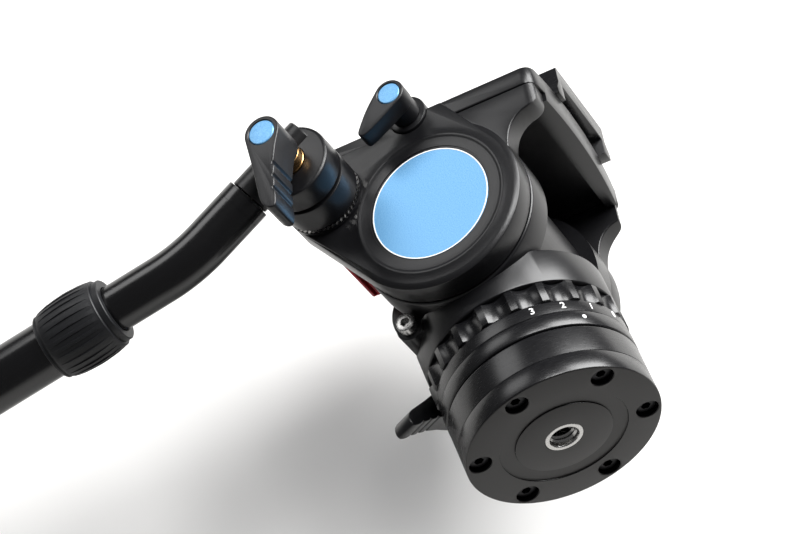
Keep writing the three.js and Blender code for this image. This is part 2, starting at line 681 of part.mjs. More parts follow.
function panBody() {
  const skirt = ring([
    [pocketRadius, GRIP_TOP + SEAM], [SKIRT_RADIUS - EDGE_CHAMFER, GRIP_TOP + SEAM],
    [SKIRT_RADIUS, GRIP_TOP + SEAM + EDGE_CHAMFER], [SKIRT_RADIUS, SKIRT_TOP], [pocketRadius, SKIRT_TOP],
  ]);
  const lid = rod(SKIRT_RADIUS - EDGE_CHAMFER, POCKET_TOP, SKIRT_TOP, BIG);
  const right = sideways(rod(DRUM_RADIUS, drumStart, DRUM_END, BIG)).translate(0, 0, TILT_HEIGHT);
  const left = sideways(rod(DRUM_RADIUS, -DRUM_END, -drumStart, BIG)).translate(0, 0, TILT_HEIGHT);
  const waist = sideways(rod(WAIST_RADIUS, -drumStart, drumStart, BIG)).translate(0, 0, TILT_HEIGHT);
  const lug = sideways(rod(LUG_RADIUS, LUG_START, LUG_END, SMALL)).translate(0, LUG_Y, LUG_Z);
  const web = box(LUG_START, LUG_END, LUG_Y, 0, LUG_Z - LUG_RADIUS, LUG_Z + LUG_RADIUS);
  const lockBoss = radial(rod(PAN_LOCK_BOSS_RADIUS, pocketRadius, PAN_LOCK_BOSS_FACE, MID));
  const lockTrim = rod(pocketRadius, 0, POCKET_TOP, BIG);
  const whole = join(skirt, lid, waist, right, left, lug, web, lockBoss);
  const bore = sideways(rod(TILT_BORE, -DRUM_END - OVERRUN, DRUM_END + OVERRUN, BIG)).translate(0, 0, TILT_HEIGHT);
  const below = rod(SKIRT_RADIUS + OVERRUN, -OVERRUN, GRIP_TOP + SEAM, BIG);
  const screwHole = sideways(rod(LUG_SHANK_RADIUS + SEAM, LUG_END - LUG_SHANK_LENGTH - SEAM, LUG_END + OVERRUN, TINY))
    .translate(0, LUG_Y, LUG_Z);
  const studHole = radial(rod(PAN_LOCK_STUD_RADIUS + SEAM, 0, PAN_LOCK_BOSS_FACE + OVERRUN, TINY));
  return cut(whole, bore, lockTrim, below, screwHole, studHole);
}

piece(pan, 'pan_body', panBody(), 'anodised');
piece(pan, 'pan_rotor', ring([
  [SPINDLE_RADIUS + SEAM, floorTop + STATOR_HEIGHT + 2 * SEAM],
  [turretInner - SEAM, floorTop + STATOR_HEIGHT + 2 * SEAM],
  [turretInner - SEAM, ROTOR_BODY_TOP], [ROTOR_NECK_RADIUS, ROTOR_BODY_TOP],
  [ROTOR_NECK_RADIUS, ROTOR_NECK_TOP], [SPINDLE_RADIUS + SEAM, ROTOR_NECK_TOP],
], MID), 'blackSteel');
piece(pan, 'lug_screw', sideways(turned([
  [0, LUG_END - LUG_SHANK_LENGTH], [LUG_SHANK_RADIUS, LUG_END - LUG_SHANK_LENGTH],
  [LUG_SHANK_RADIUS, LUG_END + SEAM], [LUG_SCREW_RADIUS, LUG_END + SEAM],
  [LUG_SCREW_RADIUS, LUG_END + SEAM + LUG_SCREW_HEIGHT],
  [HEX_SOCKET_RADIUS, LUG_END + SEAM + LUG_SCREW_HEIGHT],
  [HEX_SOCKET_RADIUS, LUG_END + SEAM + LUG_SCREW_HEIGHT - HEX_SOCKET_DEPTH],
  [0, LUG_END + SEAM + LUG_SCREW_HEIGHT - HEX_SOCKET_DEPTH],
], SMALL)).translate(0, LUG_Y, LUG_Z), 'steel');

// Tilt bearings, damper and counterbalance spring share the bore
const bearingOuter = TILT_BORE - SEAM;
const bearingInner = SHAFT_RADIUS + SEAM;
const rightInner = DRUM_END - SEAM - BEARING_WIDTH;

function inBore(inner, outer, low, high) {
  return sideways(tube(inner, outer, low, high, MID)).translate(0, 0, TILT_HEIGHT);
}

piece(pan, 'tilt_bearing_right', inBore(bearingInner, bearingOuter, rightInner, DRUM_END - SEAM), 'steel');
piece(pan, 'tilt_bearing_left', inBore(bearingInner, bearingOuter, SEAM - DRUM_END, -rightInner), 'steel');
piece(pan, 'tilt_damper', inBore(bearingInner, bearingOuter, rightInner - SEAM - DAMPER_WIDTH, rightInner - SEAM),
  'anodised');
piece(pan, 'counterbalance_spring', inBore(bearingInner, SPRING_OUTER, SEAM - rightInner,
  SEAM - rightInner + SPRING_WIDTH), 'blackSteel');

// Platform of the cradle. In plan its front edge bows forward.
function platformOutline() {
  const bow = 2 * FRONT_MIDDLE - (FRONT_RIGHT_Y + FRONT_LEFT_Y) / 2;
  const side = PLATFORM_HALF_WIDTH;
  const front = FRONT_CORNER_X;
  const rear = PLATFORM_REAR + PLATFORM_REAR_CORNER;
  return [
    ...arc(side - PLATFORM_REAR_CORNER, rear, PLATFORM_REAR_CORNER, -90, 0, CORNER_STEPS),
    ...curve([side, CORNER_RIGHT_Y], [side, FRONT_RIGHT_Y], [front, FRONT_RIGHT_Y], NOSE_STEPS),
    ...curve([front, FRONT_RIGHT_Y], [0, bow], [-front, FRONT_LEFT_Y], BOW_STEPS).slice(1),
    ...curve([-front, FRONT_LEFT_Y], [-side, FRONT_LEFT_Y], [-side, CORNER_LEFT_Y], NOSE_STEPS).slice(1),
    ...arc(PLATFORM_REAR_CORNER - side, rear, PLATFORM_REAR_CORNER, 180, 270, CORNER_STEPS),
  ];
}

// Clamp rail profile, whose inner face leans over the plate's foot
const footTop = PLATFORM_TOP + SEAM + FOOT_HEIGHT;
const flankRun = FOOT_HALF_WIDTH - WEB_HALF_WIDTH;
const flankRise = WEB_BOTTOM - footTop;

function railProfile(low) {
  const overhang = (flankRun * (RAIL_TOP - footTop)) / flankRise;
  return [
    [FOOT_HALF_WIDTH + SEAM, low], [RAIL_OUTER, low], [RAIL_OUTER, RAIL_TOP - PLATE_EDGE],
    [RAIL_OUTER - PLATE_EDGE, RAIL_TOP], [FOOT_HALF_WIDTH + SEAM - overhang, RAIL_TOP],
    [FOOT_HALF_WIDTH + SEAM, footTop],
  ];
}

// A profile in X and Z, run along Y from rear to front
function alongY(points, rear, front) {
  return prism(points, 0, front - rear).rotateX(Math.PI / 2).translate(0, front, 0);
}

const mirrored = (points) => points.map(([u, v]) => [-u, v]).reverse();
const buttonX = (BUTTON_LEFT + BUTTON_RIGHT) / 2;
const stemZ = BUTTON_HIGH - BUTTON_ROOF / 2 - SEAM;
const stemRear = BUTTON_GAP - PLATFORM_REAR;
const stemFront = stemRear - BUTTON_STEM_LENGTH;
const jawRear = PLATE_LOCK_Y - JAW_LENGTH / 2;
const jawFront = PLATE_LOCK_Y + JAW_LENGTH / 2;

function platform() {
  const deckLow = PLATFORM_TOP - DECK_THICKNESS;
  const slab = prism(platformOutline(), PLATFORM_BOTTOM, PLATFORM_TOP);
  const lip = common(prism(platformOutline(), LIP_BOTTOM, PLATFORM_TOP),
    box(-POCKET_HALF_WIDTH, POCKET_HALF_WIDTH, POCKET_FRONT, FRONT_MIDDLE + OVERRUN, LIP_BOTTOM, PLATFORM_TOP));
  const pocket = box(-POCKET_HALF_WIDTH, POCKET_HALF_WIDTH, POCKET_REAR, POCKET_FRONT,
    PLATFORM_BOTTOM - OVERRUN, deckLow);
  const low = PLATFORM_TOP - DECK_THICKNESS / 2;
  const leftRail = alongY(mirrored(railProfile(low)), RAIL_REAR, RAIL_FRONT);
  const rightRear = alongY(railProfile(low), RAIL_REAR, jawRear - SEAM);
  const rightFront = alongY(railProfile(low), jawFront + SEAM, RAIL_FRONT);
  const bossStart = RAIL_OUTER + JAW_TRAVEL + 2 * SEAM;
  const boss = sideways(rod(PLATE_LOCK_BOSS_RADIUS, bossStart, PLATE_LOCK_BOSS_FACE, MID))
    .translate(0, PLATE_LOCK_Y, PLATE_LOCK_Z);
  const stemBore = rearward(rod(BUTTON_STEM_RADIUS + SEAM, stemFront - BUTTON_TRAVEL - SEAM, stemRear + OVERRUN, TINY))
    .translate(buttonX, 0, stemZ);
  const stud = sideways(rod(PLATE_LOCK_STUD_RADIUS + SEAM, 0, PLATE_LOCK_END, TINY))
    .translate(0, PLATE_LOCK_Y, PLATE_LOCK_Z);
  const drums = sideways(rod(DRUM_RADIUS + SEAM, -ARM_INNER, ARM_INNER, BIG));
  const solid = join(cut(slab, pocket), lip, leftRail, rightRear, rightFront, boss);
  return cut(solid, stemBore, stud, drums);
}

piece(cradle, 'platform', platform(), 'anodised');

// Cradle arms. Their outline in the side view wraps the boss and the rosette.
const rosetteDistance = Math.hypot(ROSETTE_Y, ROSETTE_Z);
const rosetteBearing = THREE.MathUtils.radToDeg(Math.atan2(ROSETTE_Z, ROSETTE_Y));

function tangentAngle(bossRadius) {
  const offset = (bossRadius - ROSETTE_RADIUS) / rosetteDistance;
  return rosetteBearing + THREE.MathUtils.radToDeg(Math.acos(offset));
}

const armTop = PLATFORM_BOTTOM - SEAM;

function armOutline() {
  const lower = tangentAngle(BOSS_RADIUS);
  const rise = (armTop - ROSETTE_Z) / ROSETTE_RADIUS;
  const start = 180 - THREE.MathUtils.radToDeg(Math.asin(rise));
  const frontAngle = rad(ARM_FRONT_ANGLE);
  const onBoss = [BOSS_RADIUS * Math.cos(frontAngle), BOSS_RADIUS * Math.sin(frontAngle)];
  const noseStart = [ARM_NOSE_Y - ARM_NOSE_ROUND / 2, ARM_NOSE_Z - ARM_NOSE_ROUND / 4];
  return [
    ...arc(ROSETTE_Y, ROSETTE_Z, ROSETTE_RADIUS, start, lower, ARM_HEAD_STEPS),
    ...arc(0, 0, BOSS_RADIUS, lower, 360 + ARM_FRONT_ANGLE, ARM_STEPS),
    ...curve(onBoss, [ARM_CURVE_Y, ARM_CURVE_Z], noseStart, CORNER_STEPS).slice(1),
    ...curve(noseStart, [ARM_FRONT_Y, ARM_NOSE_Z], [ARM_FRONT_Y, ARM_NOSE_Z + ARM_NOSE_ROUND], NOSE_STEPS).slice(1),
    [ARM_FRONT_Y, armTop],
  ];
}

// The raised cover: tangent to the boss, it laps over the platform's side
function coverOutline() {
  const lower = tangentAngle(COVER_RADIUS);
  const cos = Math.cos(rad(COVER_ANGLE));
  const sin = Math.sin(rad(COVER_ANGLE));
  const rise = (COVER_SHOULDER - COVER_RADIUS * sin) / cos;
  return [
    ...arc(ROSETTE_Y, ROSETTE_Z, ROSETTE_RADIUS, COVER_REAR_ANGLE, lower, COVER_HEAD_STEPS),
    ...arc(0, 0, COVER_RADIUS, lower, 360 + COVER_ANGLE, COVER_STEPS),
    [COVER_RADIUS * cos - rise * sin, COVER_SHOULDER], [COVER_SHOULDER_REAR, COVER_SHOULDER],
    [COVER_SHOULDER_REAR - COVER_SHOULDER_RUN, COVER_TOP], [ROSETTE_Y, COVER_TOP],
  ];
}

function armSolid() {
  const floor = -BOSS_RADIUS - OVERRUN;
  const rear = PLATFORM_REAR - OVERRUN;
  const inner = common(
    sideways(prism(armOutline(), ARM_INNER, ARM_OUTER)),
    join(prism(platformOutline(), floor, armTop), box(0, ARM_OUTER + SEAM, rear, CORNER_LEFT_Y, floor, armTop)));
  const lap = box(0, ARM_OUTER + SEAM, rear, ARM_FRONT_Y, armTop, COVER_SHOULDER + OVERRUN);
  const cover = cut(sideways(prism(coverOutline(), ARM_OUTER - EDGE_CHAMFER, COVER_FACE)), lap);
  const boss = sideways(turned([
    [0, ARM_OUTER - 2 * EDGE_CHAMFER], [COVER_RADIUS, ARM_OUTER - 2 * EDGE_CHAMFER], [COVER_RADIUS, COVER_FACE - SEAM],
    [(COVER_RADIUS + BEZEL_RADIUS) / 2, BEZEL_FACE - SEAM], [BEZEL_RADIUS, BEZEL_FACE], [0, BEZEL_FACE],
  ], BIG));
  const pad = sideways(rod(ROSETTE_RADIUS, ARM_OUTER, ROSETTE_FACE - 2 * ROSETTE_TOOTH_DEPTH - SEAM, MID))
    .translate(0, ROSETTE_Y, ROSETTE_Z);
  const recess = sideways(rod(LABEL_RADIUS + SEAM, LABEL_FACE - LABEL_THICKNESS - SEAM, BEZEL_FACE + OVERRUN, BIG));
  const shaft = sideways(rod(SHAFT_RADIUS + SEAM, 0, SHAFT_END + SEAM, MID));
  const studLow = ROSETTE_FACE - STUD_SEAT_DEPTH - SEAM;
  const stud = sideways(rod(STUD_RADIUS + SEAM, studLow, ROSETTE_FACE + OVERRUN, SMALL))
    .translate(0, ROSETTE_Y, ROSETTE_Z);
  return cut(join(inner, cover, boss, pad), recess, shaft, stud);
}

function rightArm() {
  const lockBoss = sideways(rod(PLATE_LOCK_BOSS_RADIUS + SEAM, 0, BEZEL_FACE + OVERRUN, MID))
    .translate(0, PLATE_LOCK_Y, PLATE_LOCK_Z);
  return cut(armSolid(), lockBoss);
}

// The left arm carries the tilt lock instead and has a hub for the dial. Its nose is thinner.
function leftArm() {
  const frontRoom = box(-ARM_OUTER - OVERRUN, 0, LEFT_NOSE_START, ARM_FRONT_Y + OVERRUN, 0, armTop + OVERRUN);
  const mirror = armSolid().scale(-1, 1, 1);
  const boss = sideways(rod(TILT_LOCK_BOSS_RADIUS, -COVER_FACE - TILT_LOCK_BOSS_LENGTH, -ARM_OUTER, SMALL))
    .translate(0, TILT_LOCK_Y, TILT_LOCK_Z);
  const stud = sideways(rod(TILT_LOCK_STUD_RADIUS + SEAM, -COVER_FACE - TILT_LOCK_BOSS_LENGTH - OVERRUN, 0, TINY))
    .translate(0, TILT_LOCK_Y, TILT_LOCK_Z);
  const corner = prism(platformOutline(), -OVERRUN, armTop + OVERRUN).translate(LEFT_NOSE_INSET, -LEFT_NOSE_INSET, 0);
  return cut(join(mirror, boss), stud, cut(frontRoom, corner));
}

piece(cradle, 'right_arm', rightArm(), 'anodised');
piece(cradle, 'left_arm', leftArm(), 'anodised');
piece(cradle, 'tilt_shaft', sideways(rod(SHAFT_RADIUS, -SHAFT_END, SHAFT_END, MID)), 'steel');
piece(cradle, 'right_label', sideways(rod(LABEL_RADIUS, LABEL_FACE - LABEL_THICKNESS, LABEL_FACE, BIG)), 'blue');

// Rosettes: toothed rings, one on each arm
function rosetteRing() {
  const low = ROSETTE_FACE - 2 * ROSETTE_TOOTH_DEPTH;
  const outline = fluted(ROSETTE_RADIUS, ROSETTE_TOOTH_DEPTH / 2, ROSETTE_TEETH, 0, TOOTH_SHARE, TOOTH_STEPS);
  const teeth = prism(outline, low + ROSETTE_TOOTH_DEPTH, ROSETTE_FACE);
  const plain = rod(ROSETTE_RADIUS - ROSETTE_TOOTH_DEPTH, low, ROSETTE_FACE - ROSETTE_TOOTH_DEPTH / 2, MID);
  const bore = rod(STUD_RADIUS + SEAM, 0, ROSETTE_FACE + OVERRUN, SMALL);
  return sideways(cut(join(teeth, plain), bore)).translate(0, ROSETTE_Y, ROSETTE_Z);
}

piece(cradle, 'rosette_right', rosetteRing(), 'blackSteel');
piece(cradle, 'rosette_left', rosetteRing().scale(-1, 1, 1), 'blackSteel');
piece(cradle, 'clamp_stud', sideways(chamferedRod(STUD_RADIUS, ROSETTE_FACE - STUD_SEAT_DEPTH, STUD_END,
  EDGE_CHAMFER)).translate(0, ROSETTE_Y, ROSETTE_Z), 'brass');

// Bubble level
piece(cradle, 'level_housing', ring([
  [VIAL_RADIUS + SEAM, PLATFORM_TOP + SEAM + LEVEL_HEIGHT - VIAL_HEIGHT],
  [VIAL_RADIUS + SEAM, PLATFORM_TOP + SEAM + LEVEL_HEIGHT], [LEVEL_RADIUS, PLATFORM_TOP + SEAM + LEVEL_HEIGHT],
  [LEVEL_RADIUS, PLATFORM_TOP + SEAM], [SEAM, PLATFORM_TOP + SEAM],
  [SEAM, PLATFORM_TOP + SEAM + LEVEL_HEIGHT - VIAL_HEIGHT],
], SMALL).translate(LEVEL_X, LEVEL_Y, 0), 'moulded');
piece(cradle, 'level_vial', chamferedRod(VIAL_RADIUS, PLATFORM_TOP + 2 * SEAM + LEVEL_HEIGHT - VIAL_HEIGHT,
  PLATFORM_TOP + SEAM + LEVEL_HEIGHT, EDGE_CHAMFER).translate(LEVEL_X, LEVEL_Y, 0), 'glass');

// A lever: a head about the origin, a tip down -V, and a capped recess in its face
function leverSolid(headRadius, reach, shares, capRadius, low, armLow, high, studRadius, studLow) {
  const flank = shares.map(([across, along]) => [across * headRadius, -along * reach]);
  const outline = [...flank, ...arc(0, 0, headRadius, HEAD_START_ANGLE, HEAD_END_ANGLE, SMALL)];
  const recess = rod(capRadius + SEAM, high - LEVER_CAP_THICKNESS - SEAM, high + OVERRUN, SMALL);
  const hub = rod(headRadius, low, armLow + EDGE_CHAMFER, MID);
  const stud = rod(studRadius, studLow, low + EDGE_CHAMFER, TINY);
  return join(cut(prism(outline, armLow, high), recess), hub, stud);
}

function leverCap(capRadius, high) {
  return rod(capRadius, high - LEVER_CAP_THICKNESS, high, SMALL);
}

// Pan lock: the lever's stud pushes a shoe against the brake drum
const panHubLow = PAN_LOCK_BOSS_FACE + SEAM;
const panLever = leverSolid(LEVER_HEAD_RADIUS, LEVER_REACH, LEVER_OUTLINE_SHARES, LEVER_CAP_RADIUS,
  panHubLow, panHubLow + PAN_LOCK_HUB_LENGTH, PAN_LOCK_END, PAN_LOCK_STUD_RADIUS, PAN_LOCK_STUD_END);
const panLeverTurned = panLever.scale(-1, 1, 1).rotateZ(rad(PAN_LOCK_TURN));
piece(pan, 'pan_lock_lever', radial(panLeverTurned), 'moulded');
piece(pan, 'pan_lock_cap', radial(leverCap(LEVER_CAP_RADIUS, PAN_LOCK_END)), 'blue');
piece(pan, 'pan_brake_shoe', radial(rod(PAN_LOCK_STUD_RADIUS, PAN_LOCK_STUD_END - SEAM - BRAKE_SHOE_LENGTH,
  PAN_LOCK_STUD_END - SEAM, TINY)), 'blackSteel');

// Plate lock lever, its jaw and the quick-release plate
const plateHubLow = PLATE_LOCK_BOSS_FACE + SEAM;
const plateLever = leverSolid(SMALL_HEAD_RADIUS, SMALL_REACH, SMALL_OUTLINE_SHARES, SMALL_CAP_RADIUS,
  plateHubLow, plateHubLow + SMALL_HUB_LENGTH, PLATE_LOCK_END, PLATE_LOCK_STUD_RADIUS, RAIL_OUTER - STUD_REACH);
const plateCap = leverCap(SMALL_CAP_RADIUS, PLATE_LOCK_END);
for (const [name, shape, finish] of [
  ['plate_lock_lever', plateLever, 'moulded'], ['plate_lock_cap', plateCap, 'blue']]) {
  piece(cradle, name, sideways(shape.rotateZ(rad(PLATE_LOCK_TURN))).translate(0, PLATE_LOCK_Y, PLATE_LOCK_Z), finish);
}

function clampJaw() {
  const jaw = alongY(railProfile(PLATFORM_TOP + SEAM), jawRear, jawFront);
  const hole = sideways(rod(PLATE_LOCK_STUD_RADIUS + SEAM, RAIL_OUTER - JAW_HOLE_DEPTH, RAIL_OUTER + OVERRUN, TINY))
    .translate(0, PLATE_LOCK_Y, PLATE_LOCK_Z);
  return cut(jaw, hole);
}

function quickPlate() {
  const low = PLATFORM_TOP + SEAM;
  const profile = [
    [CHANNEL_HALF_WIDTH, low], [FOOT_HALF_WIDTH, low], [FOOT_HALF_WIDTH, footTop],
    [WEB_HALF_WIDTH, WEB_BOTTOM], [WEB_HALF_WIDTH, PLATE_TOP - PLATE_EDGE], [WEB_HALF_WIDTH - PLATE_EDGE, PLATE_TOP],
  ];
  const outline = [...profile, ...mirrored(profile), [-CHANNEL_HALF_WIDTH, WEB_BOTTOM],
    [CHANNEL_HALF_WIDTH, WEB_BOTTOM]];
  const solid = alongY(outline, PLATE_FRONT - PLATE_LENGTH, PLATE_FRONT);
  const slot = prism([
    ...arc(0, SLOT_LENGTH / 2, SLOT_HALF_WIDTH, 0, 180, SLOT_STEPS),
    ...arc(0, -SLOT_LENGTH / 2, SLOT_HALF_WIDTH, 180, 360, SLOT_STEPS),
  ], 0, PLATE_TOP + OVERRUN).translate(0, CAMERA_SCREW_Y, 0);
  const pin = rod(INDEX_PIN_RADIUS + SEAM, 0, PLATE_TOP + OVERRUN, TINY).translate(0, INDEX_PIN_Y, 0);
  return cut(solid, slot, pin);
}

function padStrip(from, to) {
  const middle = PLATE_FRONT - PLATE_LENGTH / 2;
  const low = PLATE_TOP + SEAM;
  return box(from, to, middle - PAD_LENGTH / 2, middle + PAD_LENGTH / 2, low, low + PAD_HEIGHT);
}

piece(cradle, 'clamp_jaw', clampJaw(), 'anodised');
piece(cradle, 'quick_release_plate', quickPlate(), 'anodised');
piece(cradle, 'plate_pad_right', padStrip(PAD_INNER, PAD_HALF_WIDTH), 'rubber');
piece(cradle, 'plate_pad_left', padStrip(-PAD_HALF_WIDTH, -PAD_INNER), 'rubber');
const screwHeadTop = WEB_BOTTOM - SEAM;
piece(cradle, 'camera_screw', turned([
  [0, screwHeadTop - SCREW_HEAD_DISC_HEIGHT], [SCREW_HEAD_DISC, screwHeadTop - SCREW_HEAD_DISC_HEIGHT],
  [SCREW_HEAD_DISC, screwHeadTop], [CAMERA_SCREW_RADIUS, screwHeadTop],
  [CAMERA_SCREW_RADIUS, PLATE_TOP + CAMERA_SCREW_REACH - EDGE_CHAMFER],
  [CAMERA_SCREW_RADIUS - EDGE_CHAMFER, PLATE_TOP + CAMERA_SCREW_REACH], [0, PLATE_TOP + CAMERA_SCREW_REACH],
], SMALL).translate(0, CAMERA_SCREW_Y, 0), 'steel');
piece(cradle, 'index_pin', turned([
  [0, screwHeadTop - INDEX_PIN_HEAD_HEIGHT], [INDEX_PIN_HEAD, screwHeadTop - INDEX_PIN_HEAD_HEIGHT],
  [INDEX_PIN_HEAD, screwHeadTop], [INDEX_PIN_RADIUS, screwHeadTop],
  [INDEX_PIN_RADIUS, PLATE_TOP + INDEX_PIN_PROUD - EDGE_CHAMFER],
  [INDEX_PIN_RADIUS - EDGE_CHAMFER, PLATE_TOP + INDEX_PIN_PROUD], [0, PLATE_TOP + INDEX_PIN_PROUD],
], TINY).translate(0, INDEX_PIN_Y, 0), 'steel');

// Release button: hollow from below, with a stem that slides into the platform
function releaseButton() {
  const front = PLATFORM_REAR - BUTTON_GAP;
  const wall = BUTTON_WALL;
  const body = prism([
    [BUTTON_LEFT, BUTTON_REAR], [BUTTON_RIGHT, BUTTON_REAR], [BUTTON_RIGHT, front], [BUTTON_LEFT, front],
  ], BUTTON_LOW, BUTTON_HIGH);
  const hollow = prism([
    [BUTTON_LEFT + wall, BUTTON_REAR + wall], [BUTTON_RIGHT - wall, BUTTON_REAR + wall],
    [BUTTON_RIGHT - wall, front - wall], [BUTTON_LEFT + wall, front - wall],
  ], BUTTON_LOW - OVERRUN, BUTTON_HIGH - BUTTON_ROOF);
  const stem = rearward(rod(BUTTON_STEM_RADIUS, stemFront, stemRear + wall, TINY)).translate(buttonX, 0, stemZ);
  return join(cut(body, hollow), stem);
}

piece(cradle, 'release_button', releaseButton(), 'red');

// Left side: tilt drag dial with its label, and the tilt lock lever
const dialInner = BEZEL_FACE + SEAM;

function tiltDial() {
  const outline = fluted(DIAL_RADIUS, DIAL_FLUTE_DEPTH, DIAL_FLUTES, 0, DIAL_LAND_SHARE, FLUTE_STEPS);
  const face = dialInner + DIAL_WIDTH;
  const body = prism(outline, dialInner, face);
  const hub = rod(DIAL_HUB_RADIUS, LABEL_FACE - LABEL_THICKNESS, dialInner + EDGE_CHAMFER, SMALL);
  const recess = rod(DIAL_LABEL_RADIUS + SEAM, face - LABEL_THICKNESS, face + OVERRUN, MID);
  return sideways(cut(join(body, hub), recess)).scale(-1, 1, 1);
}

piece(cradle, 'tilt_drag_dial', tiltDial(), 'anodised');
piece(cradle, 'left_label', sideways(rod(DIAL_LABEL_RADIUS, dialInner + DIAL_WIDTH - LABEL_THICKNESS + SEAM,
  dialInner + DIAL_WIDTH, MID)).scale(-1, 1, 1), 'blue');

const lockFace = COVER_FACE + TILT_LOCK_BOSS_LENGTH;
const tiltHubLow = lockFace + SEAM;
const tiltLockEnd = tiltHubLow + TILT_LOCK_LEVER_WIDTH;
const tiltLever = leverSolid(LEVER_HEAD_RADIUS, LEVER_REACH, LEVER_OUTLINE_SHARES, LEVER_CAP_RADIUS,
  tiltHubLow, tiltHubLow + LEVER_HUB_LENGTH, tiltLockEnd, TILT_LOCK_STUD_RADIUS, DRUM_END + SEAM);
const tiltCap = leverCap(LEVER_CAP_RADIUS, tiltLockEnd);
for (const [name, shape, finish] of [
  ['tilt_lock_lever', tiltLever, 'moulded'], ['tilt_lock_cap', tiltCap, 'blue']]) {
  const placed = sideways(shape.rotateZ(rad(TILT_LOCK_TURN))).scale(-1, 1, 1);
  piece(cradle, name, placed.translate(0, TILT_LOCK_Y, TILT_LOCK_Z), finish);
}

// Handle clamp lever, on the brass stud
const clampHubLow = STUD_END + SEAM;
const clampLever = leverSolid(LEVER_HEAD_RADIUS, LEVER_REACH, LEVER_OUTLINE_SHARES, LEVER_CAP_RADIUS,
  clampHubLow, clampHubLow + LEVER_HUB_LENGTH, CLAMP_LEVER_END, STUD_RADIUS, clampHubLow);
piece(cradle, 'handle_clamp_lever', sideways(clampLever).translate(0, ROSETTE_Y, ROSETTE_Z), 'moulded');
piece(cradle, 'handle_clamp_cap', sideways(leverCap(LEVER_CAP_RADIUS, CLAMP_LEVER_END))
  .translate(0, ROSETTE_Y, ROSETTE_Z), 'blue');

// Handle: rosette body and clamp, turning about the stud
const drop = rad(HANDLE_DROP);
const back = new THREE.Vector3(0, -Math.cos(drop), -Math.sin(drop));
const lift = new THREE.Vector3(0, -Math.sin(drop), Math.cos(drop));
const socketStart = lift.clone().multiplyScalar(HANDLE_OFFSET).setX(HANDLE_X);

// Lays a shape made about Z along the handle's first stretch
function alongHandle(geometry) {
  const side = new THREE.Vector3().crossVectors(lift, back);
  const frame = new THREE.Matrix4().makeBasis(side, lift, back).setPosition(socketStart);
  return geometry.applyMatrix4(frame);
}

const rosetteBodyStart = ROSETTE_FACE + SEAM;
piece(handle, 'handle_rosette', sideways(ring([
  [STUD_RADIUS + SEAM, rosetteBodyStart], [ROSETTE_RADIUS, rosetteBodyStart], [ROSETTE_RADIUS, ROSETTE_BODY_END],
  [ROSETTE_NECK_RADIUS, ROSETTE_BODY_END], [ROSETTE_NECK_RADIUS, ROSETTE_BODY_END + ROSETTE_NECK_LENGTH],
  [STUD_RADIUS + SEAM, ROSETTE_BODY_END + ROSETTE_NECK_LENGTH],
], MID)), 'anodised');

function handleClamp() {
  const start = ROSETTE_BODY_END + ROSETTE_NECK_LENGTH + SEAM;
  const barrel = sideways(chamferedRod(CLAMP_RADIUS, start, CLAMP_END, EDGE_CHAMFER, MID));
  const socket = alongHandle(rod(SOCKET_RADIUS, -SOCKET_FRONT, TUBE_START - SEAM, MID));
  const rosetteSide = sideways(rod(ROSETTE_RADIUS + SEAM, 0, start, MID));
  const stud = sideways(rod(STUD_RADIUS + SEAM, 0, CLAMP_END + OVERRUN, SMALL));
  return cut(join(barrel, socket), rosetteSide, stud);
}

piece(handle, 'handle_clamp', handleClamp(), 'anodised');

// The bent tube: straight, then an arc that brings it level, then straight
const bendStart = socketStart.clone().addScaledVector(back, TUBE_STRAIGHT);
const levelZ = bendStart.z - TUBE_BEND * (1 - Math.cos(drop));
const bendEndY = bendStart.y - TUBE_BEND * Math.sin(drop);

class BentPath extends THREE.Curve {
  // One step for each straight stretch and the rest for the bend
  getUtoTmapping(u) {
    return u;
  }

  getPoint(t, target = new THREE.Vector3()) {
    const step = t * BEND_STEPS;
    if (step <= 1) {
      const s = TUBE_START + (TUBE_STRAIGHT - TUBE_START) * step;
      return target.copy(socketStart).addScaledVector(back, s);
    }
    if (step >= BEND_STEPS - 1) {
      const left = BEND_STEPS - step;
      return target.set(HANDLE_X, (bendEndY + TUBE_END) * left - TUBE_END, levelZ);
    }
    const angle = (drop * (BEND_STEPS - 1 - step)) / (BEND_STEPS - 2);
    return target.set(HANDLE_X, bendStart.y - TUBE_BEND * (Math.sin(drop) - Math.sin(angle)),
      levelZ + TUBE_BEND * (1 - Math.cos(angle)));
  }
}

function bentTube() {
  const shape = new THREE.Shape();
  shape.absarc(0, 0, TUBE_RADIUS, 0, 2 * Math.PI, false);
  const bore = new THREE.Path();
  bore.absarc(0, 0, TUBE_RADIUS - TUBE_WALL, 0, 2 * Math.PI, true);
  shape.holes.push(bore);
  const options = { steps: BEND_STEPS, bevelEnabled: false, extrudePath: new BentPath(), curveSegments: TINY };
  const solid = new THREE.ExtrudeGeometry(shape, options);
  const screwHole = rod(SET_SCREW_RADIUS + SEAM, TUBE_RADIUS - SET_SCREW_LENGTH - SEAM, TUBE_RADIUS + OVERRUN, TINY);
  return cut(solid, aroundTube(screwHole));
}

// Puts a shape made about Z on the tube's flank, pointing out
function aroundTube(geometry) {
  return alongHandle(geometry.rotateX(-Math.PI / 2).rotateZ(rad(SET_SCREW_ANGLE)).translate(0, 0, SET_SCREW_AT));
}

piece(handle, 'handle_inner_tube', bentTube(), 'anodised');
piece(handle, 'handle_set_screw', aroundTube(rod(SET_SCREW_RADIUS, TUBE_RADIUS - SET_SCREW_LENGTH,
  TUBE_RADIUS - SEAM, TINY)), 'steel');

// Level pieces on the handle, measured back from the rosette axis
function onHandle(geometry) {
  return rearward(geometry).translate(HANDLE_X, 0, levelZ);
}

const sleeveBore = TUBE_RADIUS + SEAM;
piece(handle, 'handle_outer_tube', onHandle(tube(sleeveBore, OUTER_TUBE_RADIUS, OUTER_TUBE_FRONT, OUTER_TUBE_END, MID)),
  'anodised');

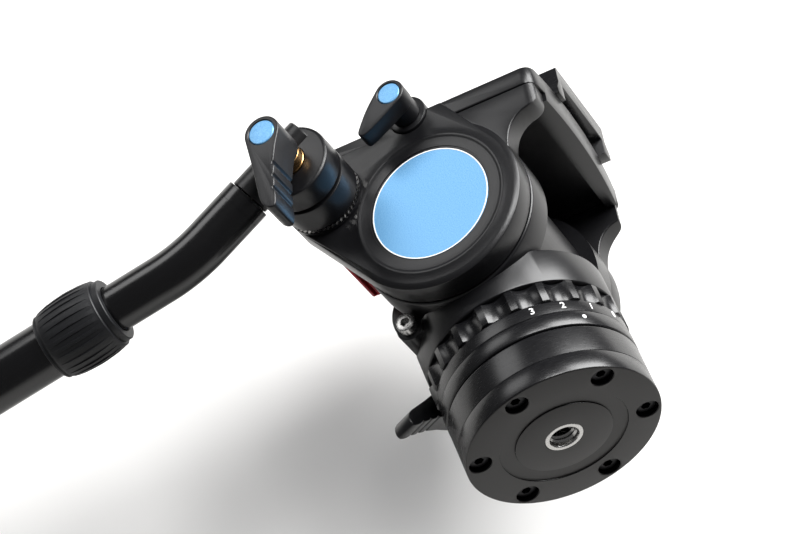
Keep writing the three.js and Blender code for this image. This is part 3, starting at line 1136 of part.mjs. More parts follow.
// Twist collar: a ribbed barrel with a plain ring at each end
function collar() {
  const start = COLLAR_FRONT + COLLAR_NECK_LENGTH;
  const end = COLLAR_FRONT + COLLAR_LENGTH - COLLAR_STEP_LENGTH;
  const outline = fluted(COLLAR_RADIUS, COLLAR_RIB_HEIGHT, COLLAR_RIBS, 0, COLLAR_RIB_SHARE, TOOTH_STEPS);
  const shape = new THREE.Shape(outline.map(([u, v]) => new THREE.Vector2(u, v)));
  const sleeve = new THREE.ExtrudeGeometry(shape, { depth: end - start, steps: BARREL_STEPS, bevelEnabled: false });
  const position = sleeve.attributes.position;
  for (let i = 0; i < position.count; i += 1) {
    const inside = position.getZ(i) > SEAM && position.getZ(i) < end - start - SEAM;
    const share = inside ? 1 + COLLAR_BARREL / COLLAR_RADIUS : 1;
    position.setXY(i, position.getX(i) * share, position.getY(i) * share);
  }
  const barrel = join(sleeve.translate(0, 0, start),
    chamferedRod(COLLAR_STEP_RADIUS, start, COLLAR_FRONT + COLLAR_LENGTH, EDGE_CHAMFER, MID),
    rod(COLLAR_NECK_RADIUS, COLLAR_FRONT, end, MID));
  const bore = turned([
    [0, COLLAR_FRONT - OVERRUN], [sleeveBore, COLLAR_FRONT - OVERRUN], [sleeveBore, OUTER_TUBE_FRONT - SEAM],
    [OUTER_TUBE_RADIUS + SEAM, OUTER_TUBE_FRONT - SEAM],
    [OUTER_TUBE_RADIUS + SEAM, COLLAR_FRONT + COLLAR_LENGTH + OVERRUN],
    [0, COLLAR_FRONT + COLLAR_LENGTH + OVERRUN],
  ], MID);
  return cut(barrel, bore);
}

piece(handle, 'handle_collar', onHandle(collar()), 'rubber');

function gripSleeve() {
  const profile = [[OUTER_TUBE_RADIUS + SEAM, GRIP_START], [GRIP_SLEEVE_RADIUS - GRIP_RING_DEPTH, GRIP_START]];
  const pitch = GRIP_LENGTH / GRIP_RING_COUNT;
  for (let k = 0; k < GRIP_RING_COUNT; k += 1) {
    const low = GRIP_START + pitch * k;
    for (const [along, rise] of GRIP_WAVE_SHARES) {
      profile.push([GRIP_SLEEVE_RADIUS - GRIP_RING_DEPTH * (1 - rise), low + pitch * along]);
    }
  }
  profile.push([OUTER_TUBE_RADIUS + SEAM, OUTER_TUBE_END]);
  return ring(profile, SMALL);
}

piece(handle, 'handle_grip', onHandle(gripSleeve()), 'rubber');
const capStart = OUTER_TUBE_END + SEAM;
piece(handle, 'handle_end_cap', onHandle(join(
  chamferedRod(GRIP_SLEEVE_RADIUS, capStart, capStart + CAP_LENGTH, PLATE_EDGE, MID),
  rod(sleeveBore - 2 * SEAM, capStart - CAP_PLUG_LENGTH, capStart + EDGE_CHAMFER, MID))), 'moulded');

export default head;
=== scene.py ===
# %% [markdown]
# # A fluid video head
#
# A tripod head turns a camera smoothly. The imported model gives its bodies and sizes, and
# stays fixed here. Around it, each visible piece is modelled again with the rounded edges,
# grooves, threads and surface finishes that the machined and moulded pieces really have.

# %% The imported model
import math

import bpy
from mathutils import Matrix, Vector


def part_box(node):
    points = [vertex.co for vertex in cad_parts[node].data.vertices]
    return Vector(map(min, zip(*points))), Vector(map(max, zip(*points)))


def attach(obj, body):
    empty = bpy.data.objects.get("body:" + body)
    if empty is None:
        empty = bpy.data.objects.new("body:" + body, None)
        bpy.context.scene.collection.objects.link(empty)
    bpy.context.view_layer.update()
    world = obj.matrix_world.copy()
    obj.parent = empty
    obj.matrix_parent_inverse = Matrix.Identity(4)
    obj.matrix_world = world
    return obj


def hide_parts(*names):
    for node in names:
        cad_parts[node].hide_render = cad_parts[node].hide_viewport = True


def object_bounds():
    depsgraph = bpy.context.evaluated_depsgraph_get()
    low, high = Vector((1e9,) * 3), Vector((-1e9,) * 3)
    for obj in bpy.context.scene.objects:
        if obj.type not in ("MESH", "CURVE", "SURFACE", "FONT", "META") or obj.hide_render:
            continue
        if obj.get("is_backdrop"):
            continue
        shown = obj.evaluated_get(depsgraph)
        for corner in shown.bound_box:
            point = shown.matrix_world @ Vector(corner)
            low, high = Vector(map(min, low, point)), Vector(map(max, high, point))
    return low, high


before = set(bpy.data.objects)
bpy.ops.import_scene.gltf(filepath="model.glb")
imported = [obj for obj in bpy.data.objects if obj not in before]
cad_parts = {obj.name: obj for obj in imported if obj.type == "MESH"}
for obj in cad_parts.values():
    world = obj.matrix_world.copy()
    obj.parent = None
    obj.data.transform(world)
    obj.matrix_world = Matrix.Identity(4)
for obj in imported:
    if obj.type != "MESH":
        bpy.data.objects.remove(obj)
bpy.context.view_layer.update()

# %% [markdown]
# ## Units and places
#
# Sizes below are in millimetres, as on a drawing, and MM turns them into Blender's metres.
# The pan axis is Z. The cradle dips forward about the tilt axis, so its pieces are made
# level around that axis and then laid over by one matrix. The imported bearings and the
# rosette give both axes, so nothing has to be fitted by eye.
#
# A turned piece is made upright, because a spin is easiest to draw so. SIDEWAYS then lays
# it along X, REARWARD lays it along the handle, and FLIP_X makes a left piece from a right one.

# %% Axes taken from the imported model
MM = 0.001
CRADLE_DIP = -10.4


def at(x=0, y=0, z=0):
    """A move to a place that is given in millimetres."""
    return Matrix.Translation((x * MM, y * MM, z * MM))


def rotated(degrees, axis="Z"):
    return Matrix.Rotation(math.radians(degrees), 4, axis)


def middle(node):
    low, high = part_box(node)
    return (low + high) / 2


tilt_axis = middle("tilt_bearing_right")
rosette_axis = middle("rosette_right")
CRADLE = Matrix.Translation((0, 0, tilt_axis.z)) @ rotated(CRADLE_DIP, "X")
SIDEWAYS = Matrix(((0, 0, 1, 0), (1, 0, 0, 0), (0, 1, 0, 0), (0, 0, 0, 1)))
REARWARD = Matrix(((1, 0, 0, 0), (0, 0, -1, 0), (0, 1, 0, 0), (0, 0, 0, 1)))
FLIP_X = Matrix.Diagonal((-1, 1, 1, 1))
print("tilt axis height", round(tilt_axis.z / MM, 2), "mm")

# %% [markdown]
# ## Drawing a section
#
# A lathe part is one section turned about an axis, and a milled plate is one outline pulled
# up. Both start here as a line that is drawn by hand: one vertex, extruded from corner to
# corner. Operators act on all that is selected, so everything is deselected first.

# %% A drawn line
DOUBLES = 0.00001


def fresh():
    if bpy.context.object and bpy.context.object.mode != "OBJECT":
        bpy.ops.object.mode_set(mode="OBJECT")
    bpy.ops.object.select_all(action="DESELECT")


def draw(name, points):
    fresh()
    bpy.ops.mesh.primitive_plane_add(size=MM)
    piece = bpy.context.object
    piece.name = piece.data.name = name
    bpy.ops.object.mode_set(mode="EDIT")
    bpy.ops.mesh.select_all(action="SELECT")
    bpy.ops.mesh.merge(type="CENTER")
    bpy.ops.transform.translate(value=Vector(points[0]) * MM)
    for before, after in zip(points, points[1:]):
        step = (Vector(after) - Vector(before)) * MM
        bpy.ops.mesh.extrude_region_move(TRANSFORM_OT_translate={"value": step})
    bpy.ops.mesh.select_all(action="SELECT")
    return piece


def cleaned(piece):
    bpy.ops.mesh.select_all(action="SELECT")
    bpy.ops.mesh.remove_doubles(threshold=DOUBLES)
    bpy.ops.mesh.normals_make_consistent(inside=False)
    bpy.ops.object.mode_set(mode="OBJECT")
    return piece


# %% [markdown]
# A turned piece is its section spun through a full turn, and a slab is its outline filled and
# pulled up. A spin leaves doubled points where it closes, so they are merged, and then all
# faces are made to point outwards. A large piece has 144 faces round it, a small one fewer.

# %% Turned shapes and slabs
FINE, MEDIUM, SMALL, COARSE = 144, 96, 64, 48


def spun(name, section, steps=MEDIUM):
    piece = draw(name, [(radius, 0, height) for radius, height in section])
    bpy.ops.mesh.spin(steps=steps, angle=math.tau, center=(0, 0, 0), axis=(0, 0, 1))
    return cleaned(piece)


def slab(name, outline, low, high):
    piece = draw(name, [(x, y, low) for x, y in outline])
    bpy.ops.mesh.edge_face_add()
    bpy.ops.mesh.extrude_region_move(TRANSFORM_OT_translate={"value": (0, 0, (high - low) * MM)})
    return cleaned(piece)


def rod(name, radius, low, high, steps=COARSE):
    return spun(name, [(0, low), (radius, low), (radius, high), (0, high)], steps)


def block(name, x0, x1, y0, y1, z0, z1):
    return slab(name, [(x0, y0), (x1, y0), (x1, y1), (x0, y1)], z0, z1)


# %% [markdown]
# ## Cutting and easing
#
# A boolean modifier joins or cuts, as a mill does. No real edge is perfectly sharp, so a
# narrow bevel is put on every hard edge: it catches the light as a thin line. It is put on
# each simple shape before the shapes are joined, where it stays clean.

# %% Modifiers that are applied at once
def applied(piece, kind, **settings):
    fresh()
    bpy.context.view_layer.objects.active = piece
    piece.select_set(True)
    bpy.ops.object.modifier_add(type=kind)
    modifier = piece.modifiers[-1]
    for name, value in settings.items():
        setattr(modifier, name, value)
    bpy.ops.object.modifier_apply(modifier=modifier.name)
    return piece


def carved(piece, *tools):
    for tool in tools:
        applied(piece, "BOOLEAN", object=tool, operation="DIFFERENCE", solver="MANIFOLD")
        bpy.data.objects.remove(tool)
    return piece


def welded(piece, *others):
    for other in others:
        applied(piece, "BOOLEAN", object=other, operation="UNION", solver="MANIFOLD")
        bpy.data.objects.remove(other)
    return piece


def within(piece, limit):
    applied(piece, "BOOLEAN", object=limit, operation="INTERSECT", solver="MANIFOLD")
    bpy.data.objects.remove(limit)
    return piece


def eased(piece, width, segments=2, angle=35):
    return applied(piece, "BEVEL", width=width * MM, segments=segments, limit_method="ANGLE",
                   angle_limit=math.radians(angle), miter_outer="MITER_ARC")


# %% [markdown]
# ## Placing and copying
#
# A piece is placed by moving its mesh, so that its object stays at the origin, as the packed
# ones do. A mirror turns faces inside out, so they are flipped back. A copy has a mesh of its
# own, so that it can be placed by itself.

# %% Placing, copying and joining
def placed(piece, *matrices):
    fresh()
    for matrix in matrices:
        piece.data.transform(matrix)
        if matrix.determinant() < 0:
            piece.data.flip_normals()
    return piece


def copied(piece, name, matrix):
    twin = piece.copy()
    twin.data = piece.data.copy()
    twin.name = twin.data.name = name
    bpy.context.scene.collection.objects.link(twin)
    return placed(twin, matrix)


def joined(name, pieces):
    fresh()
    for piece in pieces:
        piece.select_set(True)
    bpy.context.view_layer.objects.active = pieces[0]
    bpy.ops.object.join()
    pieces[0].name = pieces[0].data.name = name
    return pieces[0]


# %% [markdown]
# ## Handing a piece over
#
# Each finished piece is smoothed by angle, gets its finish, moves with its body and stands
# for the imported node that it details.

# %% Finishing a piece
SMOOTH_ANGLE = 32
made = []


def finished(piece, finish, body, slot, *stands_for, angle=SMOOTH_ANGLE):
    fresh()
    bpy.context.view_layer.objects.active = piece
    piece.select_set(True)
    bpy.ops.object.shade_smooth_by_angle(angle=math.radians(angle))
    piece.data.materials.clear()
    piece.data.materials.append(finish)
    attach(piece, body)
    if stands_for:
        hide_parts(*stands_for)
    made.append(piece)
    size = [round(side / MM, 1) for side in piece.dimensions]
    print(piece.name, "faces", len(piece.data.polygons), "size", size, "mm")
    return piece


# %% [markdown]
# ## Colours and nodes
#
# Colours are written as they look on a screen, and one function makes them linear for the
# shader. One more function adds a node with its settings and links.

# %% Colour and node helpers
def linear(code):
    channels = [int(code[i:i + 2], 16) / 255 for i in (1, 3, 5)]
    return [c / 12.92 if c <= 0.04045 else ((c + 0.055) / 1.055) ** 2.4 for c in channels] + [1]


def add_node(tree, kind, values=None, links=None, **settings):
    node = tree.nodes.new(kind)
    for name, value in settings.items():
        setattr(node, name, value)
    for socket, value in (values or {}).items():
        node.inputs[socket].default_value = value
    for socket, source in (links or {}).items():
        tree.links.new(source, node.inputs[socket])
    return node


def new_finish(name, colour, metallic, roughness, **others):
    finish = bpy.data.materials.new(name)
    finish.use_nodes = True
    shader = finish.node_tree.nodes["Principled BSDF"]
    values = {"Base Color": linear(colour), "Metallic": metallic, "Roughness": roughness}
    values.update(others)
    for socket, value in values.items():
        shader.inputs[socket].default_value = value
    return finish, finish.node_tree, shader


# %% [markdown]
# No real surface is quite even, so every finish gets a grain. Noise gives it without an image.
# Most of its values lie between 0.3 and 0.7, which are spread over the whole range of colour
# and gloss.

# %% Grain
NOISE_LOW, NOISE_HIGH = 0.3, 0.7


def grain_on(tree, shader, size, height, colours, roughnesses=None, stretch=(1, 1, 1), detail=2):
    """Noise whose spots are size millimetres across, as relief, colour and gloss."""
    place = add_node(tree, "ShaderNodeTexCoord").outputs["Object"]
    scaled = add_node(tree, "ShaderNodeMapping", {"Scale": stretch}, {"Vector": place})
    noise = add_node(tree, "ShaderNodeTexNoise", {"Scale": 1 / (size * MM), "Detail": detail},
                     {"Vector": scaled.outputs["Vector"]}).outputs["Fac"]
    if height:
        bump = add_node(tree, "ShaderNodeBump", {"Strength": 1, "Distance": height * MM},
                        {"Height": noise})
        tree.links.new(bump.outputs["Normal"], shader.inputs["Normal"])
    ramp = add_node(tree, "ShaderNodeValToRGB", None, {"Fac": noise})
    dark, light = ramp.color_ramp.elements
    dark.position, light.position = NOISE_LOW, NOISE_HIGH
    dark.color, light.color = linear(colours[0]), linear(colours[1])
    tree.links.new(ramp.outputs["Color"], shader.inputs["Base Color"])
    if roughnesses:
        spread = add_node(tree, "ShaderNodeMapRange", {
            "From Min": NOISE_LOW, "From Max": NOISE_HIGH,
            "To Min": roughnesses[0], "To Max": roughnesses[1]}, {"Value": noise})
        tree.links.new(spread.outputs["Result"], shader.inputs["Roughness"])


# %% [markdown]
# ## Black finishes
#
# The castings and rings are aluminium, bead blasted and then anodised black. Blasting leaves
# a fine even grain that spreads the light, and the dyed oxide is dark and slightly glossy.
# The grain of 0.1 mm is too fine for the picture, so it is drawn at 0.35 mm.

# %% Bead blasted black anodised aluminium
blasted, tree, shader = new_finish("bead_blasted_black_anodised", "#0e0e10", 0.0, 0.32, IOR=1.48)
grain_on(tree, shader, 0.35, 0.008, ("#0b0b0d", "#111113"), (0.28, 0.36))

# %% [markdown]
# The turned rings were cut on a lathe, so their grain runs round them as very fine lines.

# %% Turned black anodised aluminium
turned, tree, shader = new_finish("turned_black_anodised", "#0d0d0f", 0.0, 0.26, IOR=1.5)
grain_on(tree, shader, 0.4, 0.002, ("#0b0b0d", "#0f0f11"), (0.24, 0.28), stretch=(0.15, 0.15, 1))

# %% [markdown]
# The underside of the base is faced off and blasted coarser, and is greyer than the sides.

# %% Faced underside
faced, tree, shader = new_finish("faced_dark_anodised", "#1c1a19", 0.0, 0.48, IOR=1.48)
grain_on(tree, shader, 0.3, 0.008, ("#191716", "#1f1d1c"), (0.45, 0.52))

# %% [markdown]
# The handle is a drawn tube with a smooth, glossier anodising, whose grain runs along it.

# %% Drawn and anodised tube
drawn_tube, tree, shader = new_finish("drawn_black_anodised_tube", "#070708", 0.0, 0.21, IOR=1.6)
grain_on(tree, shader, 0.3, 0.0008, ("#060607", "#09090b"), (0.19, 0.23), stretch=(1, 0.06, 1))

# %% [markdown]
# The levers and the end cap are glass-filled nylon, moulded with a spark-eroded texture.

# %% Moulded nylon
nylon, tree, shader = new_finish("moulded_black_nylon", "#0f0f11", 0.0, 0.36, IOR=1.48)
grain_on(tree, shader, 0.4, 0.01, ("#0d0d0f", "#121215"), (0.32, 0.41))

# %% [markdown]
# The collar, the grip and the camera pad are soft rubber, which is matt with a faint bloom.

# %% Rubber
rubber, tree, shader = new_finish("black_rubber", "#101114", 0.0, 0.5, IOR=1.5)
grain_on(tree, shader, 0.5, 0.015, ("#0e0f11", "#141519"), (0.45, 0.55))

# %% [markdown]
# ## Bright and coloured finishes
#
# The thread insert, screws and pins are plated or stainless steel. Small fasteners in the
# base are black oxide, which is nearly black with a slight sheen.

# %% Steel, black oxide and brass
steel, tree, shader = new_finish("stainless_steel", "#b9b8b6", 1.0, 0.24)
grain_on(tree, shader, 0.3, 0.004, ("#aeadab", "#c6c5c3"), (0.2, 0.3))
black_oxide, tree, shader = new_finish("black_oxide_steel", "#141416", 0.6, 0.42)
grain_on(tree, shader, 0.3, 0.006, ("#101012", "#1a1a1d"), (0.36, 0.5))
brass, tree, shader = new_finish("turned_brass", "#b48e5e", 1.0, 0.26)
grain_on(tree, shader, 0.25, 0.006, ("#a57f4f", "#c39d6d"), (0.2, 0.32), stretch=(1, 0.1, 0.1))

# %% [markdown]
# The labels are aluminium discs anodised blue over a sparkling sandblasted face. The grain is
# strong enough to read as light and dark specks, about 0.35 mm across.

# %% Blue label, white ink, red button and spirit
blue_label, tree, shader = new_finish("blue_anodised_label", "#639dca", 0.3, 0.34)
grain_on(tree, shader, 0.35, 0.012, ("#4b8abf", "#7cb1d6"), (0.28, 0.4), detail=4)
white_ink, tree, shader = new_finish("white_screen_ink", "#f2f2f2", 0.0, 0.5)
grain_on(tree, shader, 0.2, 0.002, ("#ececec", "#f7f7f7"), (0.45, 0.55))
red_abs, tree, shader = new_finish("red_moulded_abs", "#c3202e", 0.0, 0.36, IOR=1.54)
grain_on(tree, shader, 0.5, 0.01, ("#b81c2a", "#cc2634"), (0.32, 0.42))
spirit, tree, shader = new_finish("spirit_level_vial", "#c9de3f", 0.0, 0.06, IOR=1.49)
grain_on(tree, shader, 3, 0, ("#c2d838", "#d3e650"))
print("finishes:", ", ".join(m.name for m in bpy.data.materials))

# %% [markdown]
# ## Camera
#
# The photograph was taken from below and in front of the head, which lies on its left side,
# with a long lens. The camera's place and its three directions were worked out from the
# circles of the base and the label.

# %% Camera
CAMERA_PLACE = (695.8, 127.6, -473.6)
CAMERA_RIGHT = Vector((-0.441, 0.843, -0.310)).normalized()
CAMERA_FORWARD = Vector((-0.763, -0.170, 0.624)).normalized()
LENS, SENSOR_WIDTH = 119.25, 36
NEAREST, FARTHEST = 0.01, 20

bpy.ops.object.camera_add()
camera = bpy.context.object
camera_up = CAMERA_RIGHT.cross(CAMERA_FORWARD).normalized()
camera_side = CAMERA_FORWARD.cross(camera_up)
camera.matrix_world = Matrix.Translation(Vector(CAMERA_PLACE) * MM) @ Matrix(
    (camera_side, camera_up, -CAMERA_FORWARD)).transposed().to_4x4()
camera.data.lens = LENS
camera.data.sensor_width = SENSOR_WIDTH
camera.data.clip_start, camera.data.clip_end = NEAREST, FARTHEST
bpy.context.scene.camera = camera
print("camera up", [round(v, 3) for v in camera_up])

# %% [markdown]
# ## Base plate
#
# The base is a turned disc. A shallow groove runs round its middle, and six counterbores
# hold the screws. It is one section, spun, and then the counterbores are cut. The faces that
# look down get the second finish of the faced underside.

# %% Base plate
BASE_RADIUS = 33.5
PLATE_TOP_Z = 7.22
INSERT_BORE = 6.65
SCREW_CIRCLE = 28.5
SCREW_FIRST = 51.2
SCREW_COUNT = 6
COUNTERBORE_RADIUS = 3.9
COUNTERBORE_DEPTH = 5
SHANK_HOLE = 2.3
FACING_DOWN, FACED_HEIGHT = -0.6, 0.6

base_plate = spun("base_plate_detailed", [
    (INSERT_BORE, 0), (16.45, 0), (16.62, 0.06), (16.7, 0.22), (16.72, 0.5), (21.7, 0.5),
    (21.86, 0.4), (21.9, 0.2), (22.02, 0), (33.0, 0), (33.2, 0.05), (33.36, 0.16), (33.46, 0.32),
    (BASE_RADIUS, 0.52), (BASE_RADIUS, 7.08), (33.42, PLATE_TOP_Z), (INSERT_BORE, PLATE_TOP_Z),
    (INSERT_BORE, 0)], FINE)
screw_turns = [rotated(SCREW_FIRST + 360 / SCREW_COUNT * k) for k in range(SCREW_COUNT)]
for turn in screw_turns:
    counterbore = spun("counterbore", [
        (0, -1), (COUNTERBORE_RADIUS + 0.25, -1), (COUNTERBORE_RADIUS + 0.25, 0),
        (COUNTERBORE_RADIUS, 0.25), (COUNTERBORE_RADIUS, COUNTERBORE_DEPTH),
        (SHANK_HOLE, COUNTERBORE_DEPTH), (SHANK_HOLE, 9), (0, 9)], COARSE)
    carved(base_plate, placed(counterbore, at(SCREW_CIRCLE), turn))
finished(base_plate, turned, "base", "anodised", "base_plate")
base_plate.data.materials.append(faced)
for face in base_plate.data.polygons:
    if face.normal.z < FACING_DOWN and face.center.z < FACED_HEIGHT * MM:
        face.material_index = 1

# %% [markdown]
# ## Screws
#
# The screws are socket caps: a plain round head with a hexagon socket, on a shank. One is
# turned, its socket is cut with a six-sided prism, and six copies take their places. Copies
# keep the screws alike, and each has its own mesh because each is a piece of its own.

# %% Socket cap screws
HEX_CORNER, SOCKET_DEPTH = 1.75, 1.7
SCREW_SINK = 1.7


def cap_screw(name, head_radius, head_height, shank_radius, length):
    """A screw that stands on its shank's end, with its head down at z 0."""
    screw = spun(name, [
        (0, 0), (head_radius - 0.5, 0), (head_radius - 0.12, 0.12), (head_radius, 0.5),
        (head_radius, head_height), (shank_radius, head_height), (shank_radius, length),
        (0, length)], COARSE)
    corners = [math.radians(60 * k) for k in range(6)]
    hexagon = [(HEX_CORNER * math.cos(a), HEX_CORNER * math.sin(a)) for a in corners]
    return carved(screw, slab("hexagon", hexagon, -1, SOCKET_DEPTH))


first_screw = cap_screw("plate_screw", 3.5, 3.0, 2.0, 8.0)
placed(first_screw, at(SCREW_CIRCLE, 0, SCREW_SINK))
for k, turn in enumerate(screw_turns):
    twin = copied(first_screw, f"plate_screw_{k + 1}_detailed", turn)
    finished(twin, black_oxide, "base", "black_steel", f"plate_screw_{k + 1}")
bpy.data.objects.remove(first_screw)

# %% [markdown]
# ## Thread insert
#
# The tripod's stud screws into a steel insert with an inch thread of 16 turns to the inch.
# Its wall is turned, and the thread is one small section carried up a helix by the Screw
# modifier. The section's corners are given as shares of the pitch. A boolean along a helix is
# hard on the solver, so wall and thread are joined as they are, the root just inside the wall.

# %% Thread insert
THREAD_PITCH = 25.4 / 16
CREST_START, CREST_END, ROOT_START = 0.39, 0.54, 0.93
STEPS_A_TURN = 36


def helix(name, root, crest, low, high, pitch):
    """A thread from root radius to crest radius; the ends of its section are closed."""
    thread = draw(name, [
        (root, 0, low), (crest, 0, low + pitch * CREST_START), (crest, 0, low + pitch * CREST_END),
        (root, 0, low + pitch * ROOT_START), (root, 0, low)])
    bpy.ops.mesh.remove_doubles(threshold=DOUBLES)
    bpy.ops.object.mode_set(mode="OBJECT")
    turns = (high - low) / pitch - 1
    steps = round(STEPS_A_TURN * turns)
    applied(thread, "SCREW", axis="Z", angle=math.tau * turns, screw_offset=pitch * turns * MM,
            steps=steps, render_steps=steps, iterations=1)
    bpy.ops.object.mode_set(mode="EDIT")
    bpy.ops.mesh.select_all(action="DESELECT")
    bpy.ops.mesh.select_non_manifold()
    bpy.ops.mesh.fill()
    return cleaned(thread)


insert = spun("thread_insert_detailed", [
    (5.15, 0), (6.4, 0), (6.55, 0.12), (6.55, 6.4), (4.76, 6.4), (4.76, 0.75), (5.0, 0.25),
    (5.15, 0)], MEDIUM)
insert_thread = helix("insert_thread", 4.78, 4.12, 0.75, 6.2, THREAD_PITCH)
insert = joined("thread_insert_detailed", [insert, insert_thread])
finished(insert, steel, "base", "steel", "thread_insert")

# %% [markdown]
# ## Base housing and index ring
#
# The housing is a cup that holds the pan damper, and a turret inside it carries the rings.
# The index ring sits on its shoulder behind a narrow black groove.

# %% Base housing and index ring
TURRET, RING_BORE = 27, 27.3
housing = spun("base_housing_detailed", [
    (12.3, 7.3), (33.4, 7.3), (BASE_RADIUS, 7.42), (BASE_RADIUS, 17.2), (33.44, 17.45),
    (33.28, 17.66), (33.0, 17.74), (32.4, 17.8), (TURRET, 17.8), (TURRET, 36.4), (24, 36.4),
    (24, 10.8), (8.3, 10.8), (8.3, 9.6), (12.3, 9.6), (12.3, 7.3)], FINE)
finished(housing, turned, "base", "anodised", "base_housing")

index_ring = spun("index_ring_detailed", [
    (RING_BORE, 18.15), (33.0, 18.15), (33.3, 18.24), (33.52, 18.44), (33.6, 18.72), (33.6, 23.82),
    (33.52, 23.98), (RING_BORE, 23.98), (RING_BORE, 18.15)], FINE)
finished(index_ring, turned, "base", "anodised", "index_ring")

# %% [markdown]
# ## Pan drag ring
#
# The ring that sets the pan's drag has deep finger scallops between narrow lands. Its outline
# is drawn once all the way round and pulled up, and a plain band below it takes the numbers.
# One drawn outline has cleaner edges to bevel than twenty scallops cut one by one.

# %% Drag ring
SCALLOPS = 20
SCALLOP_DEPTH = 2.0
SCALLOP_FIRST = 50.8


def scalloped(radius, depth, count, first, land_share, steps, fullness=0.75):
    points = []
    pitch = 360 / count
    for k in range(count):
        start = first + pitch * (k - land_share / 2)
        for angle in (start, start + pitch * land_share):
            a = math.radians(angle)
            points.append((radius * math.cos(a), radius * math.sin(a)))
        for i in range(1, steps):
            share = i / steps
            angle = math.radians(start + pitch * (land_share + (1 - land_share) * share))
            r = radius - depth * math.sin(math.pi * share) ** fullness
            points.append((r * math.cos(angle), r * math.sin(angle)))
    return points


ring_outline = scalloped(34, SCALLOP_DEPTH, SCALLOPS, SCALLOP_FIRST, 0.22, 10)
drag_grip = eased(slab("drag_grip", ring_outline, 29.3, 37.2), 0.35, 2, 50)
carved(drag_grip, rod("turret_bore", RING_BORE, 20, 45, FINE))
drag_ring = spun("pan_drag_ring_detailed", [
    (RING_BORE, 24.25), (33.3, 24.25), (33.4, 24.36), (33.4, 28.5), (33.3, 28.85), (33.05, 29.12),
    (32.7, 29.25), (32.4, 29.5), (RING_BORE, 29.5), (RING_BORE, 24.25)], FINE)
welded(drag_ring, drag_grip)
finished(drag_ring, turned, "drag_ring", "anodised", "pan_drag_ring", angle=28)

# %% [markdown]
# ## Numbers on the rings
#
# Plain numbers count the steps of drag against a white dot. They look screen printed, which
# leaves a thin film of ink. Each is a text object with a thickness, made a mesh and stood on
# the ring's side with its foot down.

# %% Numbers and index dot
BAND_RADIUS, INDEX_RADIUS = 33.4, 33.6
INK, PROUD = 0.02, 0.01
DIGIT_HEIGHT, BOLDER = 3.5, 0.05
DIGIT_Z, DOT_Z = 26.7, 21.6


def on_ring(azimuth, radius, height):
    a = math.radians(azimuth)
    sides = Matrix((
        (-math.sin(a), 0, math.cos(a)), (math.cos(a), 0, math.sin(a)), (0, 1, 0))).to_4x4()
    place = Vector((radius * math.cos(a), radius * math.sin(a), height)) * MM
    return Matrix.Translation(place) @ sides


digits = []
for azimuth, digit in ((22.9, "3"), (41.0, "2"), (59.4, "1"), (77.9, "0")):
    fresh()
    bpy.ops.object.text_add()
    text = bpy.context.object
    text.data.body, text.data.size = digit, DIGIT_HEIGHT * MM
    text.data.align_x, text.data.align_y = "CENTER", "CENTER"
    text.data.extrude, text.data.offset = INK * MM, BOLDER * MM
    bpy.ops.object.convert(target="MESH")
    bpy.ops.object.mode_set(mode="EDIT")
    place = on_ring(azimuth, BAND_RADIUS + PROUD, DIGIT_Z)
    digits.append(placed(cleaned(bpy.context.object), place))
finished(joined("ring_numbers", digits), white_ink, "drag_ring", "anodised")

dot = spun("index_dot", [(0, -INK), (0.72, -INK), (0.75, 0.0), (0.7, INK), (0, INK)], 32)
placed(dot, on_ring(SCALLOP_FIRST, INDEX_RADIUS + PROUD, DOT_Z))
finished(dot, white_ink, "base", "anodised")

# %% [markdown]
# ## Outlines
#
# The cradle's arms are blends of arcs and soft curves. Two functions give the points of an
# arc and of a curve that is pulled towards one control point.

# %% Arcs and curves
def arc(cu, cv, radius, start, stop, steps):
    angles = [math.radians(start + (stop - start) * i / steps) for i in range(steps + 1)]
    return [(cu + radius * math.cos(a), cv + radius * math.sin(a)) for a in angles]


def curve(start, pull, stop, steps):
    points = []
    for i in range(steps + 1):
        t = i / steps
        points.append(tuple((1 - t) ** 2 * a + 2 * t * (1 - t) * b + t ** 2 * c
                            for a, b, c in zip(start, pull, stop)))
    return points


def mirrored(points):
    return [(-u, v) for u, v in reversed(points)]


def in_cradle(x, y, z):
    return CRADLE @ Matrix.Translation(Vector((x, y, z)) * MM)


# %% [markdown]
# ## Turning body
#
# One casting holds the pan bearing below and the tilt housing above. The skirt, the waist
# and the two drums are turned shapes about crossing axes. The lug at the back carries a
# socket screw. They are welded into one body and the tilt bore is cut through it. RADIAL lays
# a turned piece along the line from the pan axis to the pan lock.

# %% Places on the turning body
TILT_Z = tilt_axis.z / MM
SKIRT_TOP = 51.5
LOCK_BEARING, LOCK_Z = 248, 44.4
LUG_Y, LUG_Z, WEB_HALF = -26.9, 51.4, 4.6
lock_angle = math.radians(LOCK_BEARING)
RADIAL = at(z=LOCK_Z) @ Matrix((
    (-math.sin(lock_angle), 0, math.cos(lock_angle)),
    (math.cos(lock_angle), 0, math.sin(lock_angle)),
    (0, 1, 0))).to_4x4()
AT_TILT = at(z=TILT_Z) @ SIDEWAYS
AT_LUG = at(0, LUG_Y, LUG_Z)
print("tilt axis at", round(TILT_Z, 2), "mm, pan lock at", LOCK_Z, "mm")

# %% [markdown]
# The skirt is the first section. The drums and the waist are turned on the tilt axis, and the
# lock's boss is turned on its own. The bores are cut after the weld, through all of them.

